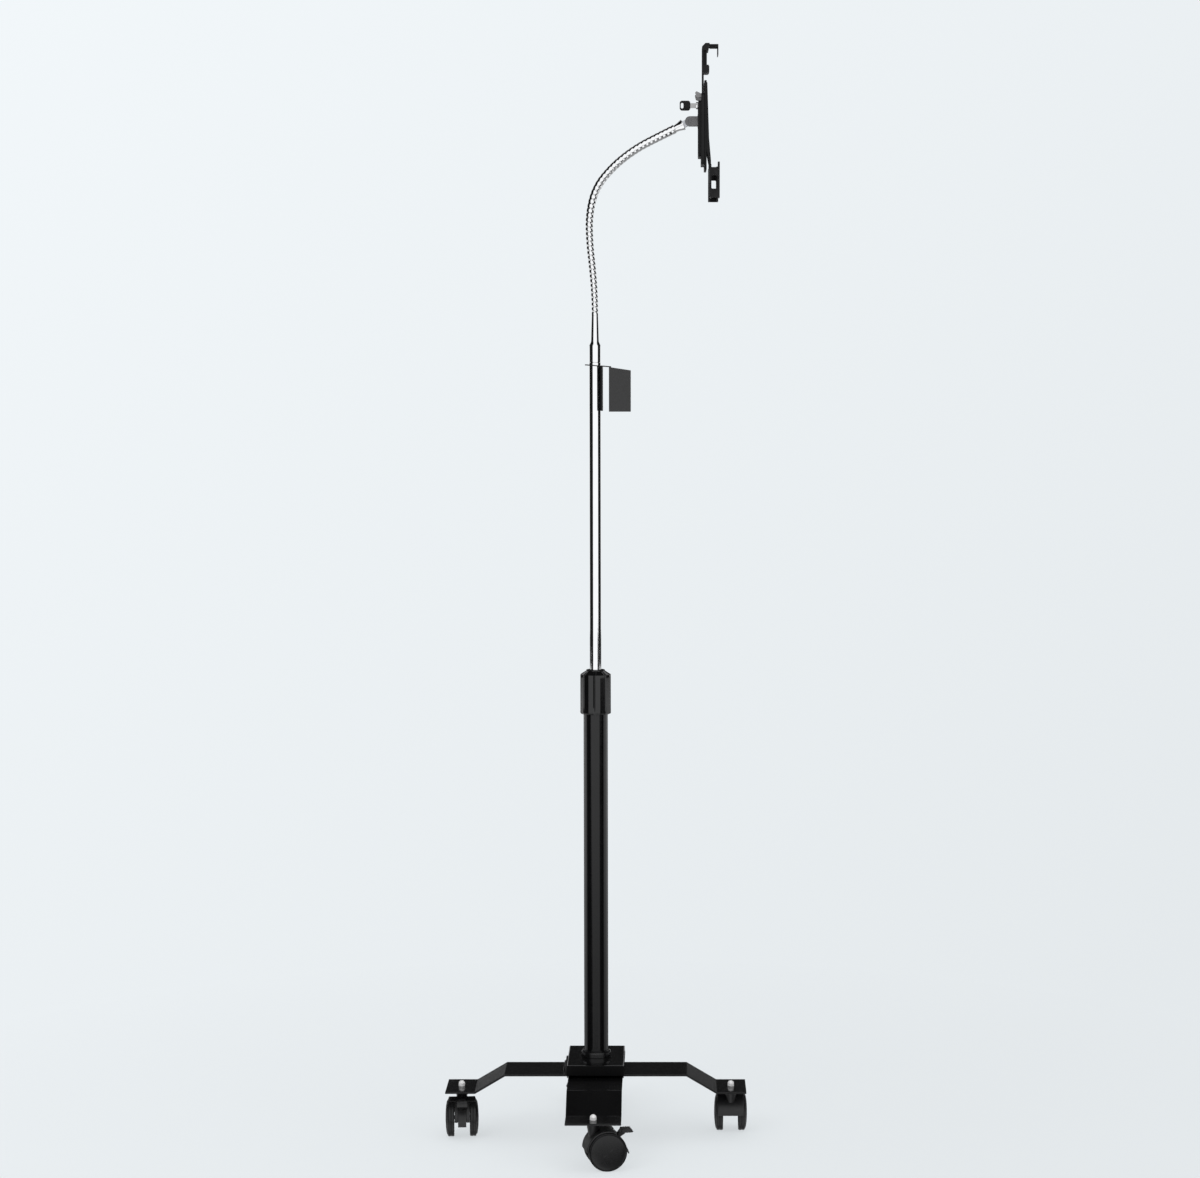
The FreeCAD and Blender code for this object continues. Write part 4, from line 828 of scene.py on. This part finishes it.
def world():
    """A pale studio: camera rays see a plain pale wall, and gloss sees it with dark flags."""
    made = bpy.data.worlds.new("studio")
    bpy.context.scene.world = made
    made.use_nodes = True
    tree = made.node_tree
    tree.nodes.clear()
    links = tree.links

    def maths(kind, first, second=0.0):
        item = tree.nodes.new("ShaderNodeMath")
        item.operation = kind
        for index, value in enumerate((first, second)):
            if isinstance(value, (int, float)):
                item.inputs[index].default_value = value
            else:
                links.new(value, item.inputs[index])
        return item.outputs[0]

    def smooth(value, low, high):
        """0 below low and 1 above high, with a soft rise between."""
        item = node(tree, "ShaderNodeMapRange", interpolation_type="SMOOTHSTEP")
        item.inputs["From Min"].default_value = low
        item.inputs["From Max"].default_value = high
        links.new(value, item.inputs["Value"])
        return item.outputs["Result"]

    def between(value, low, high, soft):
        """1 between low and high and 0 outside, with soft ends."""
        rise = smooth(value, low - soft, low + soft)
        fall = smooth(value, high - soft, high + soft)
        return maths("SUBTRACT", rise, fall)

    # A direction's angles in degrees: turn is 0 towards the front and grows to the right, azimuth
    # is the same without its sign, and height is 0 at the horizon
    coords = node(tree, "ShaderNodeTexCoord")
    axes = node(tree, "ShaderNodeSeparateXYZ")
    links.new(coords.outputs["Generated"], axes.inputs[0])
    x, y, z = axes.outputs
    degrees = 180 / math.pi
    turn = maths("MULTIPLY", maths("ARCTAN2", x, maths("MULTIPLY", y, -1.0)), degrees)
    azimuth = maths("ABSOLUTE", turn)
    height = maths("MULTIPLY", maths("ARCSINE", z), degrees)

    # Flags below 6.2 degrees under the horizon: one at the left with a slanted edge, one at the
    # right and one behind. They end between 19 and 26 degrees down
    low_zone = maths("SUBTRACT", 1.0, smooth(height, -6.3, -6.05))
    slant = maths("ADD", turn, maths("MULTIPLY", maths("MAXIMUM", height, -13.0), 3.0))
    left_flag = maths("SUBTRACT", smooth(turn, -97.0, -89.0), smooth(slant, -73.0, -65.0))
    low_flag = maths("ADD", left_flag, between(turn, 38.0, 82.0, 4.0))
    low_flag = maths("ADD", low_flag, smooth(azimuth, 143.0, 150.0))
    low_flag = maths("MULTIPLY", low_flag, smooth(height, -26.0, -19.0))

    # A thin dark rim just above that height, at the right and behind
    rim = maths("ADD", between(turn, 42.0, 61.0, 2.5), smooth(azimuth, 143.0, 150.0))
    rim = maths("MULTIPLY", rim, between(height, -6.2, -5.5, 0.1))

    # Flags above that height, at both sides
    high_flag = maths("ADD", between(turn, -146.0, -46.0, 2.5), between(turn, 61.0, 146.0, 2.5))
    flag = maths("ADD", maths("MULTIPLY", low_zone, low_flag),
                 maths("MULTIPLY", maths("SUBTRACT", 1.0, low_zone), high_flag))
    flag = maths("MAXIMUM", flag, rim)

    # A dark ceiling from the horizon up, away from the front, with a paler window at the sides and
    # behind, and a dark cap overhead
    ceiling = maths("ADD", maths("MULTIPLY", smooth(height, -0.6, 1.8), 0.905),
                    maths("MULTIPLY", smooth(height, 7.5, 11.0), 0.09))
    window = maths("MULTIPLY", between(height, 23.0, 40.0, 3.0), smooth(azimuth, 88.0, 104.0))
    ceiling = maths("MULTIPLY", ceiling, maths("SUBTRACT", 1.0, maths("MULTIPLY", window, 0.8)))
    roof = maths("MULTIPLY", ceiling, smooth(azimuth, 58.0, 72.0))
    roof = maths("MAXIMUM", roof, maths("MULTIPLY", smooth(height, 60.0, 70.0), 0.86))
    shade = maths("MAXIMUM", flag, roof)

    # Shade on the floor: a far one all round, a narrow band at the front, a deep one at the sides
    # and behind, and a patch at the front right
    under = maths("MULTIPLY", spread(tree, height, 0.6, 0.0, -13.0, -7.0),
                  smooth(height, -19.0, -16.5))
    front = maths("SUBTRACT", 1.0, smooth(azimuth, 18.0, 30.0))
    band = maths("MULTIPLY", between(height, -16.5, -13.6, 0.15), 0.885)
    under = maths("MAXIMUM", under, maths("MULTIPLY", front, band))
    deep = maths("MULTIPLY", spread(tree, height, 0.74, 0.0, -38.0, -22.0),
                 smooth(azimuth, 22.0, 38.0))
    under = maths("MAXIMUM", under, deep)
    patch = maths("MULTIPLY", between(turn, 11.0, 60.0, 4.0), between(height, -36.0, -17.5, 2.0))
    under = maths("MAXIMUM", under, maths("MULTIPLY", patch, 0.9))
    glossy = maths("MULTIPLY", maths("SUBTRACT", 1.0, maths("MULTIPLY", shade, FLAG_WEIGHT)),
                   maths("SUBTRACT", 1.0, under))

    tilt = maths("ADD", 1.0, maths("MULTIPLY", x, WALL_ACROSS))
    tilt = maths("ADD", tilt, maths("MULTIPLY", z, WALL_UP))
    tilt = maths("MINIMUM", maths("MAXIMUM", tilt, WALL_DARKEST), WALL_BRIGHTEST)
    rays = node(tree, "ShaderNodeLightPath")

    wall = node(tree, "ShaderNodeBackground")
    wall.inputs["Color"].default_value = WALL_COLOR
    links.new(tilt, wall.inputs["Strength"])
    gloss = node(tree, "ShaderNodeBackground")
    gloss.inputs["Color"].default_value = GLOSS_COLOR
    links.new(glossy, gloss.inputs["Strength"])
    fill = node(tree, "ShaderNodeBackground")
    fill.inputs["Color"].default_value = FILL_COLOR
    fill.inputs["Strength"].default_value = FILL_STRENGTH
    first = node(tree, "ShaderNodeMixShader")
    links.new(rays.outputs["Is Glossy Ray"], first.inputs[0])
    links.new(fill.outputs[0], first.inputs[1])
    links.new(gloss.outputs[0], first.inputs[2])
    second = node(tree, "ShaderNodeMixShader")
    links.new(rays.outputs["Is Camera Ray"], second.inputs[0])
    links.new(first.outputs[0], second.inputs[1])
    links.new(wall.outputs[0], second.inputs[2])
    out = node(tree, "ShaderNodeOutputWorld")
    links.new(second.outputs[0], out.inputs["Surface"])


# Each lamp: where it stands, what it points at, its size in metres and its power in watts
LAMPS = {
    "key": ((-1.7, -2.3, 2.7), (0, 0, 0.7), (1.6, 1.6), 28.0),
    "fill": ((2.4, -1.4, 1.7), (0, 0, 0.7), (1.4, 1.8), 10.0),
    "top": ((0.0, 0.3, 3.3), (0, 0, 0.4), (2.2, 2.2), 15.0),
}


def lamp(name, place, target, size, watts):
    light = bpy.data.lights.new(name, "AREA")
    light.shape = "RECTANGLE"
    light.size, light.size_y = size
    light.energy = watts
    holder = bpy.data.objects.new(name, light)
    bpy.context.scene.collection.objects.link(holder)
    holder.location = place
    line = Vector(target) - Vector(place)
    holder.rotation_euler = line.to_track_quat("-Z", "Y").to_euler()
    holder.visible_camera = False
    holder.visible_glossy = False


# The camera that was fitted to the photo: sensor and lens in millimetres, place in metres
SENSOR_WIDTH = 36.0
LENS = 91.5
SHIFT_ACROSS = -0.055
CAMERA_PLACE = (0.09324, -4.016, 1.059)
# Degrees that it looks down
CAMERA_DOWN = 4.67


def camera():
    data = bpy.data.cameras.new("camera")
    data.sensor_width = SENSOR_WIDTH
    data.lens = LENS
    data.shift_x = SHIFT_ACROSS
    holder = bpy.data.objects.new("camera", data)
    bpy.context.scene.collection.objects.link(holder)
    holder.location = CAMERA_PLACE
    holder.rotation_euler = (math.radians(90 - CAMERA_DOWN), 0, 0)
    bpy.context.scene.camera = holder


floor()
world()
for name, settings in LAMPS.items():
    lamp(name, *settings)
camera()
bpy.context.scene.view_settings.view_transform = "Standard"
